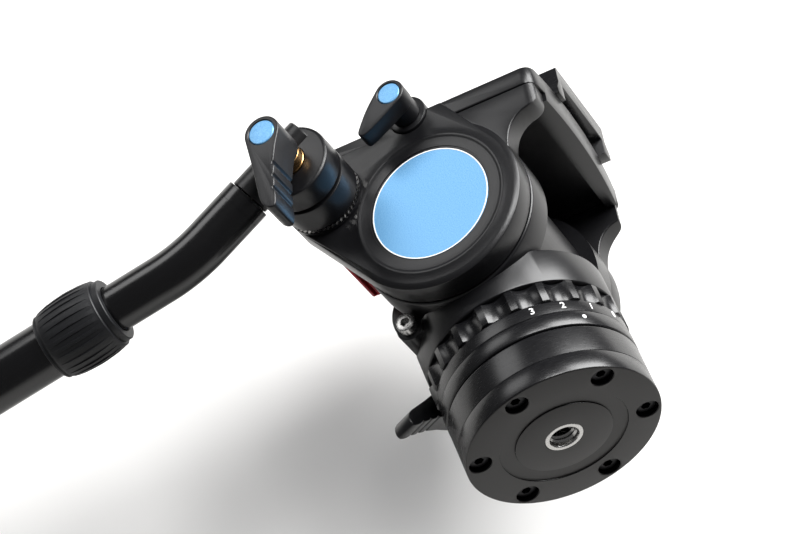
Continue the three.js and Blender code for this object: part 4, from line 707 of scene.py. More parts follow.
# %% Turning body
pan_body = spun("pan_body_detailed", [
    (0, 50.4), (14.3, 50.4), (14.3, 37.55), (32.9, 37.55), (33.25, 37.64), (33.5, 37.86),
    (33.6, 38.2), (33.6, 50.7), (33.5, 51.1), (33.26, 51.36), (32.9, SKIRT_TOP),
    (0, SKIRT_TOP)], FINE)
drum_section = [(0, 21.9), (32, 21.9), (32, 33.15), (31.86, 33.52), (31.5, 33.8), (0, 33.8)]
waist = placed(rod("waist", 27, -22.3, 22.3, FINE), AT_TILT)
drums = [placed(spun("drum", drum_section, FINE), AT_TILT),
         placed(spun("drum", drum_section, FINE), AT_TILT, FLIP_X)]
lug = spun("lug", [(0, 10), (4.9, 10), (4.9, 24.3), (4.75, 24.65), (4.4, 24.8), (0, 24.8)], COARSE)
placed(lug, SIDEWAYS, AT_LUG)
web = eased(block("web", 10.05, 24.5, LUG_Y, 0, LUG_Z - WEB_HALF, LUG_Z + WEB_HALF), 0.3)
lock_boss = spun("lock_boss", [
    (0, 20), (6.4, 20), (6.4, 33.7), (6.28, 34.05), (6, 34.2), (0, 34.2)], COARSE)
welded(pan_body, waist, *drums, lug, web, placed(lock_boss, RADIAL))
carved(pan_body, placed(rod("tilt_bore", 20, -40, 40, FINE), AT_TILT),
       placed(rod("stud_hole", 2.8, 0, 40), RADIAL))
carved(pan_body, rod("bearing_pocket", 14.3, 30, 50.4, MEDIUM))
finished(pan_body, blasted, "pan", "anodised", "pan_body")

# %% [markdown]
# The lug's screw is bright steel with a hexagon socket. The function that made the base
# plate's screws makes it too, and it is turned over so that its head faces outwards.

# %% Lug screw
TURNED_OVER = Matrix.Diagonal((1, -1, -1, 1))
lug_screw = cap_screw("lug_screw_detailed", 3.5, 3.4, 1.9, 11.2)
placed(lug_screw, TURNED_OVER, at(z=28.5), SIDEWAYS, AT_LUG)
finished(lug_screw, steel, "pan", "steel", "lug_screw")

# %% [markdown]
# ## Levers
#
# Every lock has a lever of one kind: a round head with a coloured cap, a tapering arm and a
# rounded tip. The long ones have pairs of finger ridges on their flank. The outline is given
# in shares of the head's radius and the reach, so one function makes long and short levers,
# and lever and cap are placed and handed over together.

# %% Lever outlines
LONG_FLANK = [
    (0.66, 0.23), (0.44, 0.42), (0.36, 0.435), (0.3, 0.445), (0.33, 0.462), (0.39, 0.48),
    (0.4, 0.5), (0.34, 0.58), (0.26, 0.595), (0.2, 0.605), (0.24, 0.622), (0.3, 0.64), (0.31, 0.66),
    (0.26, 0.74), (0.18, 0.755), (0.12, 0.765), (0.17, 0.782), (0.23, 0.8), (0.24, 0.86),
    (0.21, 0.93), (0.16, 0.975), (0.06, 1), (-0.1, 1), (-0.26, 0.985), (-0.42, 0.955),
    (-0.56, 0.91), (-0.65, 0.85), (-0.69, 0.79), (-0.79, 0.45)]
SHORT_FLANK = [
    (0.8, 0.33), (0.7, 0.5), (0.58, 0.64), (0.48, 0.78), (0.36, 0.9), (0.27, 0.96), (0.15, 1),
    (-0.15, 1), (-0.27, 0.96), (-0.36, 0.9), (-0.5, 0.78), (-0.64, 0.64), (-0.76, 0.5),
    (-0.86, 0.33)]
LONG_LEVER = {"head": 6.2, "reach": 30.3, "cap": 4.5, "flank": LONG_FLANK}
SHORT_LEVER = {"head": 5.3, "reach": 17.3, "cap": 3.9, "flank": SHORT_FLANK}
print("flank points:", len(LONG_FLANK), "long,", len(SHORT_FLANK), "short")

# %% [markdown]
# The arm is pulled up from its outline and eased, the hub below it is turned, and a recess on
# top takes the cap, which is a thin turned disc with a rounded edge.

# %% Lever and cap
CAP_THICKNESS = 0.8


def lever(name, form, low, arm_low, high):
    head, reach, floor = form["head"], form["reach"], high - CAP_THICKNESS - 0.3
    outline = [(u * head, -v * reach) for u, v in form["flank"]] + arc(0, 0, head, 190, -15, 40)
    body = eased(slab(name, outline, arm_low, high), 0.5, 3, 40)
    hub = spun("hub", [
        (0, low), (head - 0.5, low), (head - 0.2, low + 0.1), (head - 0.2, arm_low + 1),
        (0, arm_low + 1)], SMALL)
    recess = spun("recess", [
        (0, floor), (form["cap"] + 0.2, floor), (form["cap"] + 0.2, high - 0.25),
        (form["cap"] + 0.5, high + 0.1), (0, high + 0.1)], SMALL)
    return carved(welded(body, hub), recess)


def lever_cap(name, form, high):
    radius = form["cap"]
    return spun(name, [
        (0, high - CAP_THICKNESS), (radius, high - CAP_THICKNESS), (radius, high - 0.3),
        (radius - 0.25, high - 0.05), (radius - 0.6, high), (0, high)], SMALL)


def lock_lever(name, body, form, heights, *places):
    """A lever and its blue cap, from the heights of its hub, its arm and its top."""
    grip = lever(f"{name}_lever_detailed", form, *heights)
    finished(placed(grip, *places), nylon, body, "moulded", f"{name}_lever")
    cap = lever_cap(f"{name}_cap_detailed", form, heights[-1])
    finished(placed(cap, *places), blue_label, body, "blue", f"{name}_cap")


# %% [markdown]
# ## Pan lock
#
# The pan lock's stud points at the pan axis. Its lever is mirrored and lies along the skirt.

# %% Pan lock lever
PAN_LEVER_ANGLE = 57
lock_turn = rotated(PAN_LEVER_ANGLE) @ FLIP_X
lock_lever("pan_lock", "pan_lock", LONG_LEVER, (34.5, 34.9, 42.8), lock_turn, RADIAL)

# %% [markdown]
# ## Platform
#
# The platform is a milled slab whose front bows forward. A pocket below clears the drums,
# and two rails above hold the camera plate's dovetail; the right rail is cut away for the
# clamp jaw.

# %% Platform outline and rail
SIDE, FRONT_CORNER, REAR, CORNER_ROUND = 43, 37, -48, 7
DECK, PLATFORM_LOW, LIP_LOW = 38.4, 31.6, 28.4
STUD_HOLE = 2.9


def platform_outline():
    rear = REAR + CORNER_ROUND
    return (arc(SIDE - CORNER_ROUND, rear, CORNER_ROUND, -90, 0, 16)
            + curve((SIDE, 38.8), (SIDE, 43.4), (FRONT_CORNER, 43.4), 12)
            + curve((FRONT_CORNER, 43.4), (0, 45.95), (-FRONT_CORNER, 40.3), 24)[1:]
            + curve((-FRONT_CORNER, 40.3), (-SIDE, 40.3), (-SIDE, 31), 14)[1:]
            + arc(CORNER_ROUND - SIDE, rear, CORNER_ROUND, 180, 270, 16))


RAIL = [
    (23.3, 34), (31, 34), (31, 42.9), (30.9, 43.4), (30.5, 43.75), (30, 43.8), (22.4, 43.8),
    (22.15, 43.6), (22.2, 43.3), (23.3, 41.5)]


def rail(points, rear, front):
    return placed(slab("rail", points, 0, front - rear), at(0, front) @ rotated(90, "X"))


# %% [markdown]
# The slab and the lip below its front have the same outline. The rails are one profile pulled
# along, and the boss beside the deck takes the plate lock's stud. The room for the drums is
# cut last.

# %% Platform
platform = eased(slab("platform_detailed", platform_outline(), PLATFORM_LOW, DECK), 0.45, 2, 50)
lip = within(eased(slab("lip", platform_outline(), LIP_LOW, DECK - 1), 0.4, 2, 50),
             block("lip_room", -33.9, 33.9, 37, 60, 20, 50))
carved(platform, block("pocket", -33.9, 33.9, -40, 37, 10, 33.2))
left_rail = rail(mirrored(RAIL), -42, 35)
lock_boss = spun("lock_boss", [
    (0, 33), (7, 33), (7, 44.4), (6.85, 44.75), (6.5, 44.9), (0, 44.9)], SMALL)
at_plate_lock = at(0, -1.8, 38.2)
welded(platform, lip, left_rail, rail(RAIL, -42, -22.1), rail(RAIL, 18.5, 35),
       placed(lock_boss, SIDEWAYS, at_plate_lock))
carved(platform, placed(rod("stud_hole", STUD_HOLE, 0, 60), SIDEWAYS, at_plate_lock),
       placed(rod("drum_room", 32.3, -34.3, 34.3, FINE), SIDEWAYS))
finished(placed(platform, CRADLE), blasted, "tilt", "anodised", "platform")

# %% [markdown]
# ## Arms
#
# Each arm wraps the tilt boss, the rosette and the nose under the platform. A raised cover
# with a softly rounded rim laps over the platform's side, and the round bezel holds the
# label. A chamfered shoulder fills the step round the boss, below the bezel. The outlines
# are arcs joined by their common tangents, as a draughtsman joins them, so no corner shows
# where one runs into the next. The left arm is the mirror image, with a boss for its lock.

# %% Arm outlines
BOSS, ROSETTE, ROSETTE_Y, ROSETTE_Z = 31.5, 13.8, -36.2, 19
ARM_TOP, COVER_TOP = 31.3, 37.8
COVER, COVER_ANGLE = 29.8, 34
distance = math.hypot(ROSETTE_Y, ROSETTE_Z)
bearing = math.degrees(math.atan2(ROSETTE_Z, ROSETTE_Y))


def tangent(radius):
    return bearing + math.degrees(math.acos((radius - ROSETTE) / distance))


lower = tangent(BOSS)
start = 180 - math.degrees(math.asin((ARM_TOP - ROSETTE_Z) / ROSETTE))
on_boss = arc(0, 0, BOSS, 18, 18, 1)[0]
arm_outline = (arc(ROSETTE_Y, ROSETTE_Z, ROSETTE, start, lower, 40)
               + arc(0, 0, BOSS, lower, 378, 80)
               + curve(on_boss, (30.6, 19.2), (37.5, 21.8), 14)[1:]
               + curve((37.5, 21.8), (42.6, 22.8), (42.6, 26.8), 12)[1:]
               + [(42.6, ARM_TOP)])
lower = tangent(COVER)
cos, sin = math.cos(math.radians(COVER_ANGLE)), math.sin(math.radians(COVER_ANGLE))
rise = (COVER_TOP - COVER * sin) / cos
cover_outline = (arc(ROSETTE_Y, ROSETTE_Z, ROSETTE, 100, lower, 40)
                 + arc(0, 0, COVER, lower, 360 + COVER_ANGLE, 80)
                 + [(COVER * cos - rise * sin, COVER_TOP), (-9, COVER_TOP), (-13, 34),
                    (ROSETTE_Y, 34)])
print("arm outline", len(arm_outline), "points, cover outline", len(cover_outline))

# %% [markdown]
# One function makes an arm. The inner plate keeps to the room under the platform, and the
# cover laps over it. Bezel, shoulder and the rosette's pad are turned and welded on, and the
# label's recess and the bores are cut last, because they pass through several of these.

# %% One arm
LABEL_RECESS, SHAFT_BORE, STUD_BORE = 20.95, 8.3, 5.9
at_rosette = at(0, ROSETTE_Y, ROSETTE_Z)


def arm(name):
    inner = eased(placed(slab(name, arm_outline, 34.3, 43), SIDEWAYS), 0.5, 3, 50)
    room = slab("room", platform_outline(), -60, ARM_TOP)
    within(inner, welded(room, block("room_rear", 0, 43.3, -70, 31, -60, ARM_TOP)))
    cover = eased(slab("cover", cover_outline, 42.4, 43.9), 0.4, 3, 50)
    carved(placed(cover, SIDEWAYS), block("lap", 0, 43.3, -70, 42.6, ARM_TOP, 60))
    bezel = spun("bezel", [
        (0, 41.8), (29.5, 41.8), (29.5, 43.7), (26.6, 44.5), (26.3, 44.58), (26, 44.6),
        (25.6, 44.55), (25.2, 44.4), (24.8, 44.3), (21.6, 44.3), (21.6, 44.05), (0, 44.05)], FINE)
    shoulder = spun("shoulder", [
        (28.5, 41.8), (31.45, 41.8), (31.45, 42.8), (31.38, 43.0), (31.2, 43.15), (29.6, 43.88),
        (28.5, 43.88), (28.5, 41.8)], FINE)
    pad = placed(rod("pad", ROSETTE, 42.5, 45.1, MEDIUM), SIDEWAYS, at_rosette)
    welded(inner, cover, placed(bezel, SIDEWAYS), placed(shoulder, SIDEWAYS), pad)
    return carved(inner, placed(rod("label_recess", LABEL_RECESS, 42.8, 60, FINE), SIDEWAYS),
                  placed(rod("shaft_bore", SHAFT_BORE, 0, 41.8), SIDEWAYS),
                  placed(rod("stud_bore", STUD_BORE, 41.3, 60), SIDEWAYS, at_rosette))


# %% [markdown]
# The right arm leaves room for the plate lock's boss. The left one is mirrored and gets the
# tilt lock's boss, and its nose is cut back to the platform's outline.

# %% Both arms
boss_room = placed(rod("boss_room", 7.3, 0, 60, SMALL), SIDEWAYS, at_plate_lock)
right_arm = carved(arm("right_arm_detailed"), boss_room)
finished(placed(right_arm, CRADLE), blasted, "tilt", "anodised", "right_arm", angle=30)

left_arm = placed(arm("left_arm_detailed"), FLIP_X)
at_tilt_lock = at(0, -21.5, -10.5)
tilt_boss = spun("tilt_boss", [
    (0, 42.5), (6.2, 42.5), (6.2, 51.4), (6.05, 51.75), (5.7, 51.9), (0, 51.9)], SMALL)
welded(left_arm, placed(tilt_boss, SIDEWAYS, FLIP_X, at_tilt_lock))
corner = placed(slab("corner", platform_outline(), -20, 60), at(0.7, -0.7))
nose_room = carved(block("nose_room", -70, 0, 25, 70, 0, ARM_TOP + 1), corner)
carved(left_arm, nose_room,
       placed(rod("stud_hole", STUD_HOLE, 0, 80), SIDEWAYS, FLIP_X, at_tilt_lock))
finished(placed(left_arm, CRADLE), blasted, "tilt", "anodised", "left_arm", angle=30)

# %% [markdown]
# ## Label
#
# The blue disc is bare here, and a thin white ring is printed round its edge. Both are
# turned: the disc with a chamfer, and the ring as a band that stands just proud of it.

# %% Right label and its rim
label = spun("right_label_detailed", [
    (0, 43.1), (20.7, 43.1), (20.7, 43.9), (20.5, 44.1), (0, 44.1)], FINE)
finished(placed(label, SIDEWAYS, CRADLE), blue_label, "tilt", "blue", "right_label")
rim = spun("right_label_rim", [
    (20.3, 44.06), (20.68, 44.06), (20.68, 44.16), (20.3, 44.16), (20.3, 44.06)], FINE)
finished(placed(rim, SIDEWAYS, CRADLE), white_ink, "tilt", "blue")

# %% [markdown]
# ## Rosettes and clamp stud
#
# A toothed steel ring on each arm meets the same teeth on the handle, so the handle can be
# set at any of many angles. The brass stud draws them together. The teeth are drawn as a
# star with 48 points, because only their edge shows in the gap.

# %% Rosettes and stud
TEETH, TOOTH_TIP, TOOTH_ROOT = 48, 13.75, 13.15


def rosette(name):
    outline = []
    for k in range(TEETH):
        for share, radius in ((0, TOOTH_TIP), (0.5, TOOTH_ROOT)):
            a = math.tau * (k + share) / TEETH
            outline.append((radius * math.cos(a), radius * math.sin(a)))
    ring = carved(slab(name, outline, 45.45, 46.55), rod("bore", STUD_BORE, 40, 50))
    return placed(ring, SIDEWAYS, at_rosette)


for side, places in (("right", [CRADLE]), ("left", [FLIP_X, CRADLE])):
    ring = placed(rosette(f"rosette_{side}_detailed"), *places)
    finished(ring, steel, "tilt", "black_steel", f"rosette_{side}")
stud = spun("clamp_stud_detailed", [
    (0, 41.6), (5.6, 41.6), (5.6, 69.4), (5.35, 69.6), (5.35, 70.2), (5.6, 70.4), (5.6, 73.1),
    (5.1, 73.6), (0, 73.6)], MEDIUM)
finished(placed(stud, SIDEWAYS, at_rosette, CRADLE), brass, "tilt", "brass", "clamp_stud")

# %% [markdown]
# ## Lock levers of the cradle
#
# The same function makes the handle clamp's lever, the tilt lock's and the short plate lock's.
# The last two are turned about their own studs first, as a hand sets them, and then placed.

# %% Cradle levers
TILT_LEVER_ANGLE, PLATE_LEVER_ANGLE = 195, -47
lock_lever("handle_clamp", "handle_clamp_lever", LONG_LEVER, (73.9, 74.9, 88),
           SIDEWAYS, at_rosette, CRADLE)
lock_lever("tilt_lock", "tilt_lock", LONG_LEVER, (52.2, 53.2, 65.2),
           rotated(TILT_LEVER_ANGLE), SIDEWAYS, FLIP_X, at_tilt_lock, CRADLE)
lock_lever("plate_lock", "plate_lock", SHORT_LEVER, (45.2, 51.2, 58.2),
           rotated(PLATE_LEVER_ANGLE), SIDEWAYS, at_plate_lock, CRADLE)

# %% [markdown]
# ## Camera plate
#
# The sliding plate is an extrusion: a dovetail foot, a deep channel and two side ridges. It
# is one profile pulled along, with a slot and a pin hole milled in. The jaw has the rail's
# profile. Two rubber strips grip the camera.

# %% Plate, jaw and pads
PLATE = [
    (17.4, 38.7), (22.7, 38.7), (23, 38.9), (23, 41.3), (20.6, 45), (20.6, 50.9), (20.3, 51.4),
    (19.8, 51.6)]
SCREW_Y, PIN_Y = 6, 34
jaw = rail(RAIL, -21.8, 18.2)
carved(jaw, placed(rod("jaw_hole", STUD_HOLE, 27, 60), SIDEWAYS, at_plate_lock),
       block("jaw_foot", 20, 40, -30, 30, 30, 38.7))
finished(placed(jaw, CRADLE), turned, "jaw", "anodised", "clamp_jaw")

plate = rail(PLATE + mirrored(PLATE) + [(-17.4, 45), (17.4, 45)], -44.6, 45.4)
plate.name = "quick_release_plate_detailed"
slot = slab("slot", arc(0, 17, 3.4, 0, 180, 24) + arc(0, -17, 3.4, 180, 360, 24), 30, 60)
carved(plate, placed(slot, at(0, SCREW_Y)), placed(rod("pin_hole", 2.2, 30, 60), at(0, PIN_Y)))
eased(plate, 0.25, 2, 50)
finished(placed(plate, CRADLE), turned, "plate", "anodised", "quick_release_plate")

for name, low, high in (("right", 5, 16), ("left", -16, -5)):
    pad = eased(block(f"plate_pad_{name}_detailed", low, high, -37.6, 38.4, 51.9, 52.8), 0.2)
    finished(placed(pad, CRADLE), rubber, "plate", "rubber", f"plate_pad_{name}")

# %% [markdown]
# ## Camera screw and index pin
#
# The camera screw has a flat head with a coin slot and a quarter inch thread of 20 turns to
# the inch. The thread uses the same helix as the insert. The pin keeps the camera from
# twisting.

# %% Camera screw and pin
CAMERA_PITCH = 1.27
screw = spun("camera_screw_detailed", [
    (0, 41.7), (8.2, 41.7), (8.6, 42), (8.6, 44.3), (8.3, 44.7), (2.8, 44.7), (2.8, 56.7),
    (2.4, 57.1), (0, 57.1)], MEDIUM)
carved(screw, block("coin_slot", -10, 10, -0.9, 0.9, 40, 43))
camera_thread = helix("camera_thread", 2.75, 3.12, 50.5, 56.8, CAMERA_PITCH)
screw = joined("camera_screw_detailed", [screw, camera_thread])
finished(placed(screw, in_cradle(0, SCREW_Y, 0)), steel, "camera_screw", "steel", "camera_screw")
pin = spun("index_pin_detailed", [
    (0, 43.1), (3, 43.1), (3, 44.7), (1.9, 44.7), (1.9, 54.2), (1.7, 54.7), (1.2, 55),
    (0, 55)], COARSE)
finished(placed(pin, in_cradle(0, PIN_Y, 0)), steel, "index_pin", "steel", "index_pin")

# %% [markdown]
# ## Release button
#
# The red button behind the platform is a moulded shell, open below, on a stem. Its corners
# are rounder than a milled piece's, so the block gets a wide bevel before it is hollowed.

# %% Release button
button = eased(block("release_button_detailed", -31.4, -6, -54.2, -50.4, 30, 36.4), 0.7, 3)
carved(button, block("hollow", -30.2, -7.2, -53, -51.6, 20, 33.8))
stem = placed(rod("stem", 1.7, 44.4, 51.6), REARWARD, at(-18.7, 0, 34.8))
finished(placed(welded(button, stem), CRADLE), red_abs, "release", "red", "release_button")

# %% [markdown]
# ## Bubble level
#
# A round spirit level shows when the head stands level: a black cup, a domed vial of yellow
# spirit and a dark circle on it, in which the bubble should stand. All three are turned.

# %% Bubble level
TUBE_STEPS = 72
at_level = in_cradle(-37, -32, 0)
cup = spun("level_housing_detailed", [
    (0.3, 38.7), (4.8, 38.7), (5, 38.9), (5, 41.8), (4.8, 42.05), (4.3, 42.1), (4.2, 42),
    (4.2, 39.9), (0.3, 39.9), (0.3, 38.7)], TUBE_STEPS)
finished(placed(cup, at_level), nylon, "tilt", "moulded", "level_housing")
vial = spun("level_vial_detailed", [
    (0, 40.2), (3.9, 40.2), (3.9, 41.6), (3.5, 41.9), (2, 42.05), (0, 42.1)], TUBE_STEPS)
finished(placed(vial, at_level), spirit, "tilt", "glass", "level_vial")
circle = spun("level_circle", [
    (1.5, 42.04), (1.7, 42.02), (1.7, 42.11), (1.5, 42.12), (1.5, 42.04)], SMALL)
finished(placed(circle, at_level), black_oxide, "tilt", "glass")

# %% [markdown]
# ## Tilt drag dial
#
# The dial on the left sets the tilt's drag, with finger flutes and a blue face. The outline
# of the pan ring makes it too, with fewer and shallower scallops.

# %% Dial
dial_outline = scalloped(16.6, 0.9, 16, 0, 0.4, 10, 1)
dial = eased(slab("tilt_drag_dial_detailed", dial_outline, 44.9, 51.9), 0.45, 2, 50)
welded(dial, rod("hub", 5, 43.2, 46, SMALL))
carved(dial, rod("dial_recess", 12.7, 50.9, 60, MEDIUM))
finished(placed(dial, SIDEWAYS, FLIP_X, CRADLE), turned, "tilt_drag", "anodised", "tilt_drag_dial")
left_label = spun("left_label_detailed", [
    (0, 51.2), (12.4, 51.2), (12.4, 51.7), (12.2, 51.9), (0, 51.9)], MEDIUM)
placed(left_label, SIDEWAYS, FLIP_X, CRADLE)
finished(left_label, blue_label, "tilt_drag", "blue", "left_label")

# %% [markdown]
# ## Handle rosette and clamp
#
# The handle's own frame is level: the handle turns about the rosette axis. The clamp is a
# short barrel with a socket that grips the tube at a slant. ALONG lays a turned piece down
# that slant, so the socket and the tube share one axis.

# %% The handle's own frame
HANDLE_X, OFFSET, DROP = 64, 6.8, math.radians(20.8)
HANDLE = Matrix.Translation((0, rosette_axis.y, rosette_axis.z))
back = Vector((0, -math.cos(DROP), -math.sin(DROP)))
lift = Vector((0, -math.sin(DROP), math.cos(DROP)))
socket_start = Vector((HANDLE_X, 0, 0)) + lift * OFFSET
slant = Matrix(((1, 0, 0), lift, back)).transposed().to_4x4()
ALONG = HANDLE @ Matrix.Translation(socket_start * MM) @ slant
print("socket starts at", [round(v, 2) for v in socket_start], "mm from the rosette's middle")

# %% [markdown]
# The rosette's half and the barrel are turned about the rosette axis, the socket about the
# slant. The barrel is bored after the weld, so that the bore also clears the socket.

# %% Handle rosette and clamp
handle_rosette = spun("handle_rosette_detailed", [
    (STUD_BORE, 46.95), (13.4, 46.95), (13.8, 47.4), (13.8, 57.5), (13.65, 57.85), (13.3, 58),
    (12.2, 58), (12.2, 59.2), (STUD_BORE, 59.2), (STUD_BORE, 46.95)], MEDIUM)
placed(handle_rosette, SIDEWAYS, HANDLE)
finished(handle_rosette, blasted, "handle", "anodised", "handle_rosette")

clamp = spun("handle_clamp_detailed", [
    (0, 59.5), (13.2, 59.5), (13.6, 59.7), (13.7, 60.1), (13.7, 67.8), (13.5, 68.5), (13, 68.9),
    (12.4, 69), (0, 69)], MEDIUM)
socket = spun("socket", [
    (0, -10.6), (6.7, -10.6), (7.1, -10.2), (7.1, 16.7), (6.9, 17), (6.5, 17.1), (0, 17.1)], MEDIUM)
welded(placed(clamp, SIDEWAYS, HANDLE), placed(socket, ALONG))
carved(clamp, placed(rod("rosette_room", 14.1, 40, 59.5, MEDIUM), SIDEWAYS, HANDLE),
       placed(rod("stud_bore", STUD_BORE, 40, 80, SMALL), SIDEWAYS, HANDLE))
finished(clamp, blasted, "handle", "anodised", "handle_clamp")

# %% [markdown]
# ## Bent tube
#
# The inner tube leaves the clamp at a slant and bends level. One ring of vertices is pulled
# straight, spun round the bend's centre and pulled on, and then the wall is given its
# thickness. That is how a tube bender works, and it keeps the tube round in the bend.

# %% Inner tube
TUBE, WALL, BEND, STRAIGHT = 8.1, 1.6, 55, 36.8
TUBE_START, TUBE_END = 17.4, 172
level_run = TUBE_END + socket_start.y + STRAIGHT * back.y - BEND * math.sin(DROP)
level_z = socket_start.z + STRAIGHT * back.z - BEND * (1 - math.cos(DROP))

fresh()
bpy.ops.mesh.primitive_circle_add(vertices=TUBE_STEPS, radius=TUBE * MM,
                                  location=(0, 0, TUBE_START * MM))
tube = bpy.context.object
tube.name = tube.data.name = "handle_inner_tube_detailed"
bpy.ops.object.transform_apply(location=True)
bpy.ops.object.mode_set(mode="EDIT")
bpy.ops.mesh.select_all(action="SELECT")
for run in (0.5, 1.2, 0.5, 3.6, 0.5, STRAIGHT - TUBE_START - 6.3):
    bpy.ops.mesh.extrude_region_move(TRANSFORM_OT_translate={"value": (0, 0, run * MM)})
bpy.ops.mesh.spin(steps=24, angle=DROP, center=(0, BEND * MM, STRAIGHT * MM), axis=(1, 0, 0))
level = Vector((0, math.sin(DROP), math.cos(DROP)))
bpy.ops.mesh.extrude_region_move(TRANSFORM_OT_translate={"value": level * level_run * MM})
cleaned(tube)
applied(tube, "SOLIDIFY", thickness=WALL * MM, offset=-1)

# %% [markdown]
# Two fine grooves run round the tube near the clamp, and a small set screw sits in a hole
# through its wall. The tube is placed first, and each cutter is placed on it.

# %% Grooves and set screw
GROOVES, GROOVE_FLOOR = (17.9, 22.6), 7.95
SCREW_ANGLE, SCREW_AT = 85, 24.1
around = ALONG @ at(z=SCREW_AT) @ rotated(SCREW_ANGLE) @ rotated(-90, "X")
placed(tube, ALONG)
carved(tube, placed(rod("set_screw_hole", 2, 6.4, 12, 32), around))
for place in GROOVES:
    groove = spun("ring_groove", [
        (GROOVE_FLOOR, place), (9, place - 0.3), (9, place + 0.3),
        (GROOVE_FLOOR, place)], TUBE_STEPS)
    carved(tube, placed(groove, ALONG))
finished(tube, drawn_tube, "handle", "anodised", "handle_inner_tube")
set_screw = spun("handle_set_screw_detailed", [
    (0, 6.7), (1.7, 6.7), (1.7, 7.7), (1.55, 7.8), (0, 7.8)], 40)
hexagon = slab("hexagon", arc(0, 0, 0.95, 0, 300, 5), 7, 9)
placed(carved(set_screw, hexagon), around)
finished(set_screw, steel, "handle", "steel", "handle_set_screw")

# %% [markdown]
# ## Outer tube, collar and grip
#
# The outer tube slides on the inner one. All that sits on it is turned about the same level
# axis, which one matrix gives.

# %% Outer tube
ON_HANDLE = HANDLE @ at(HANDLE_X, 0, level_z) @ REARWARD
outer = spun("handle_outer_tube_detailed", [
    (8.4, 79), (9.7, 79), (10, 79.3), (10, 285.7), (9.8, 286), (8.4, 286), (8.4, 79)], TUBE_STEPS)
finished(placed(outer, ON_HANDLE), drawn_tube, "outer_tube", "anodised", "handle_outer_tube")

# %% [markdown]
# The collar is a rubber barrel with fine ribs that fade at both ends. A fluted bar is cut to a
# barrel's form and welded on a slimmer core, so each rib sinks into the core by itself.

# %% Collar
RIBS = 28
SLEEVE_STEPS = 84
core = spun("handle_collar_detailed", [
    (8.4, 75), (10.9, 75), (11.2, 75.3), (11.2, 77.4), (11.9, 77.4), (12.2, 77.7), (12.45, 79.5),
    (12.7, 82.5), (12.8, 87.5), (12.7, 92.5), (12.45, 96), (12.2, 98), (11.95, 98.4), (11.75, 98.4),
    (11.75, 98.9), (11.4, 98.95), (11.4, 99.2), (11.6, 99.25), (11.6, 99.9), (11.3, 100.2),
    (10.3, 100.2), (10.3, 78.7), (8.4, 78.7), (8.4, 75)], SLEEVE_STEPS)
ribs = eased(slab("ribs", scalloped(13.35, 1.4, RIBS, 0, 0.3, 6, 0.5), 77.6, 98.2), 0.12, 1, 40)
fade = spun("fade", [
    (10.6, 77.5), (12.0, 77.6), (12.45, 79.0), (12.95, 82), (13.25, 86), (13.3, 88), (13.2, 91),
    (12.9, 94.5), (12.4, 97.2), (12.0, 98.3), (10.6, 98.3), (10.6, 77.5)], SLEEVE_STEPS)
welded(core, within(ribs, fade))
finished(placed(core, ON_HANDLE), rubber, "collar", "rubber", "handle_collar")

# %% [markdown]
# The grip is a rubber sleeve with four shallow waves, which one loop adds to its section. A
# moulded cap closes the tube behind it.

# %% Grip and end cap
GRIP_START, GRIP_END, GRIP_BORE = 178, 286, 10.3
WAVES, WAVE_LENGTH = 4, 27
WAVE = [(13.5, 3), (13.75, 6), (13.95, 10), (14, 16), (13.95, 21), (13.7, 24.5), (13.3, 26.6)]
section = [(GRIP_BORE, GRIP_START), (13.1, GRIP_START), (13.4, GRIP_START + 0.5)]
for k in range(WAVES):
    section += [(radius, GRIP_START + WAVE_LENGTH * k + run) for radius, run in WAVE]
section += [(13.1, GRIP_END), (GRIP_BORE, GRIP_END), (GRIP_BORE, GRIP_START)]
grip = spun("handle_grip_detailed", section, SLEEVE_STEPS)
finished(placed(grip, ON_HANDLE), rubber, "outer_tube", "rubber", "handle_grip")
end_cap = spun("handle_end_cap_detailed", [
    (0, 276.5), (7.8, 276.5), (7.8, 286.3), (13.6, 286.3), (14, 286.7), (14, 289.6), (13.7, 290.6),
    (12.9, 291.2), (11.8, 291.3), (0, 291.3)], SLEEVE_STEPS)
finished(placed(end_cap, ON_HANDLE), nylon, "outer_tube", "moulded", "handle_end_cap")

# %% [markdown]
# ## Inner pieces
#
# The pieces inside the turret and the bore stay as packed, because the covers hide them. They
# still get the finishes of ground and black steel and of turned aluminium. The spindle's black
# steel is painted shade: its face closes the insert's bore and stands for the shade deep in that
# hole.

# %% Finishes of the inner pieces
# pan_spindle gets black steel as painted shade, so that the floor of the insert's bore stays dark.
INNER = {
    "pan_spindle": black_oxide, "pan_stator": black_oxide, "pan_brake_drum": steel,
    "pan_rotor": black_oxide, "pan_brake_shoe": black_oxide, "tilt_bearing_right": steel,
    "tilt_bearing_left": steel, "tilt_damper": turned, "counterbalance_spring": black_oxide,
    "tilt_shaft": steel}
for name, finish in INNER.items():
    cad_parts[name].data.materials.clear()
    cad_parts[name].data.materials.append(finish)
print("inner pieces:", len(INNER))

# %% [markdown]
# ## Table
#
# The head lies on its left side on a white table and is seen from above. The table's plane
# passes just under the lowest point of the whole. It is visible from its upper side only, so
# other views of the head stay clear. A faint glow that the camera alone sees keeps the shadow
# pale, without more light on the head.

# %% Table
TABLE_GLOW, TABLE_SIZE, TABLE_GAP = 0.25, 8, 0.3
TABLE_NORMAL = Vector((0.897, 0.403, -0.181)).normalized()
lowest = min(v.co.dot(TABLE_NORMAL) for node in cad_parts.values()
             for v in node.data.vertices)
fresh()
bpy.ops.mesh.primitive_plane_add(size=TABLE_SIZE)
table = bpy.context.object
table.name = "table"
table.data.transform(TABLE_NORMAL.to_track_quat("Z", "Y").to_matrix().to_4x4())
table.data.transform(Matrix.Translation(TABLE_NORMAL * (lowest - TABLE_GAP * MM)))

# %% [markdown]
# The table is matt white paper, so it has a high roughness and no grain that would show. Its
# back lets the light and the view through.

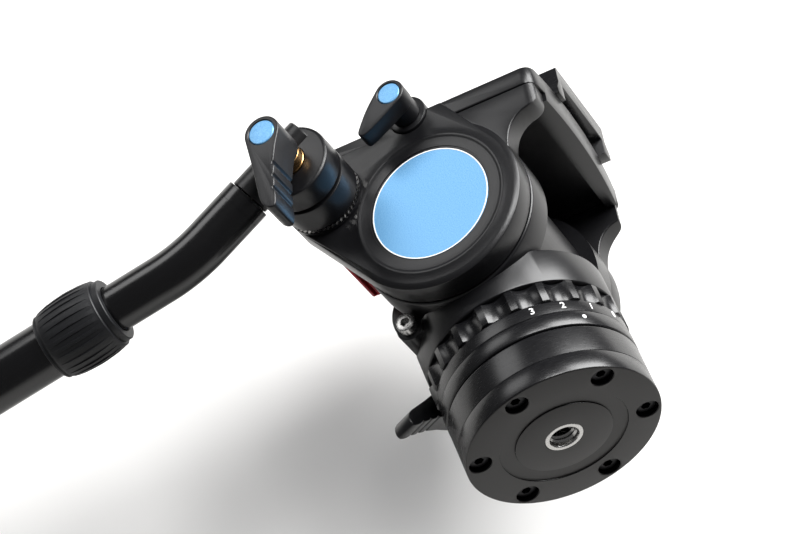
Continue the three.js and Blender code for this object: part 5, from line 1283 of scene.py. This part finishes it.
# %% Paper
paper, tree, shader = new_finish("matt_white_table", "#cfcecc", 0.0, 0.9)
seen = add_node(tree, "ShaderNodeLightPath").outputs["Is Camera Ray"]
glow = add_node(tree, "ShaderNodeEmission", None, {"Strength": seen}, name="Glow")
glow.inputs["Color"].default_value = [TABLE_GLOW] * 3 + [1]
white = add_node(tree, "ShaderNodeAddShader", None,
                 {0: shader.outputs["BSDF"], 1: glow.outputs["Emission"]})
behind = add_node(tree, "ShaderNodeNewGeometry").outputs["Backfacing"]
clear = add_node(tree, "ShaderNodeBsdfTransparent")
mixed = add_node(tree, "ShaderNodeMixShader", None,
                 {0: behind, 1: white.outputs["Shader"], 2: clear.outputs["BSDF"]})
tree.links.new(mixed.outputs["Shader"], tree.nodes["Material Output"].inputs["Surface"])
table.data.materials.append(paper)
table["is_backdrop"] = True
print("table is", round(lowest / MM, 1), "mm along its normal")

# %% [markdown]
# ## Light
#
# A black object shows mostly what it reflects, so the lamps are placed for their gloss. A
# large soft key, from the upper right of the picture, gives the long bands on the rings and
# the soft shadow at the lower left. A small front lamp lights the bezel's chamfer, and a weak
# side lamp from the upper left the faces of the levers and the arm. The room is dim, so that
# the blacks stay deep, and only the camera sees it pale.

# %% Lights and surroundings
TOWARDS = -CAMERA_FORWARD
CENTRE = Vector((20, -30, 60)) * MM
ROOM_LIGHT, ROOM_SEEN = 0.16, 0.9


def soft_light(name, direction, distance, size, power):
    bpy.ops.object.light_add(type="AREA")
    lamp = bpy.context.object
    lamp.name = name
    lamp.data.size, lamp.data.energy = size, power
    aim = direction.normalized()
    facing = aim.to_track_quat("Z", "Y").to_matrix().to_4x4()
    lamp.matrix_world = Matrix.Translation(CENTRE + aim * distance) @ facing


soft_light("key", CAMERA_RIGHT * 0.52 + camera_up * 0.8 + TOWARDS * 0.33, 1.1, 0.75, 26)
soft_light("front", CAMERA_RIGHT * 0.02 + camera_up * 0.77 + TOWARDS * 0.64, 1.1, 0.4, 8)
soft_light("side", camera_up * 0.72 - CAMERA_RIGHT * 0.67 + TOWARDS * 0.16, 1.2, 0.5, 2.3)
world = bpy.data.worlds.new("grey_room")
bpy.context.scene.world = world
world.use_nodes = True
background = world.node_tree.nodes["Background"]
background.inputs["Color"].default_value = linear("#e4e4e6")
looked_at = add_node(world.node_tree, "ShaderNodeLightPath").outputs["Is Camera Ray"]
room = add_node(world.node_tree, "ShaderNodeMapRange", None, {"Value": looked_at}, name="Room")
room.inputs["To Min"].default_value = ROOM_LIGHT
room.inputs["To Max"].default_value = ROOM_SEEN
world.node_tree.links.new(room.outputs["Result"], background.inputs["Strength"])
bpy.context.scene.view_settings.view_transform = "Standard"

# %% Sizes and finish
low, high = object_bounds()
print("detailed size", [round(v / MM, 1) for v in high - low], "mm")
print("pieces made:", len(made))
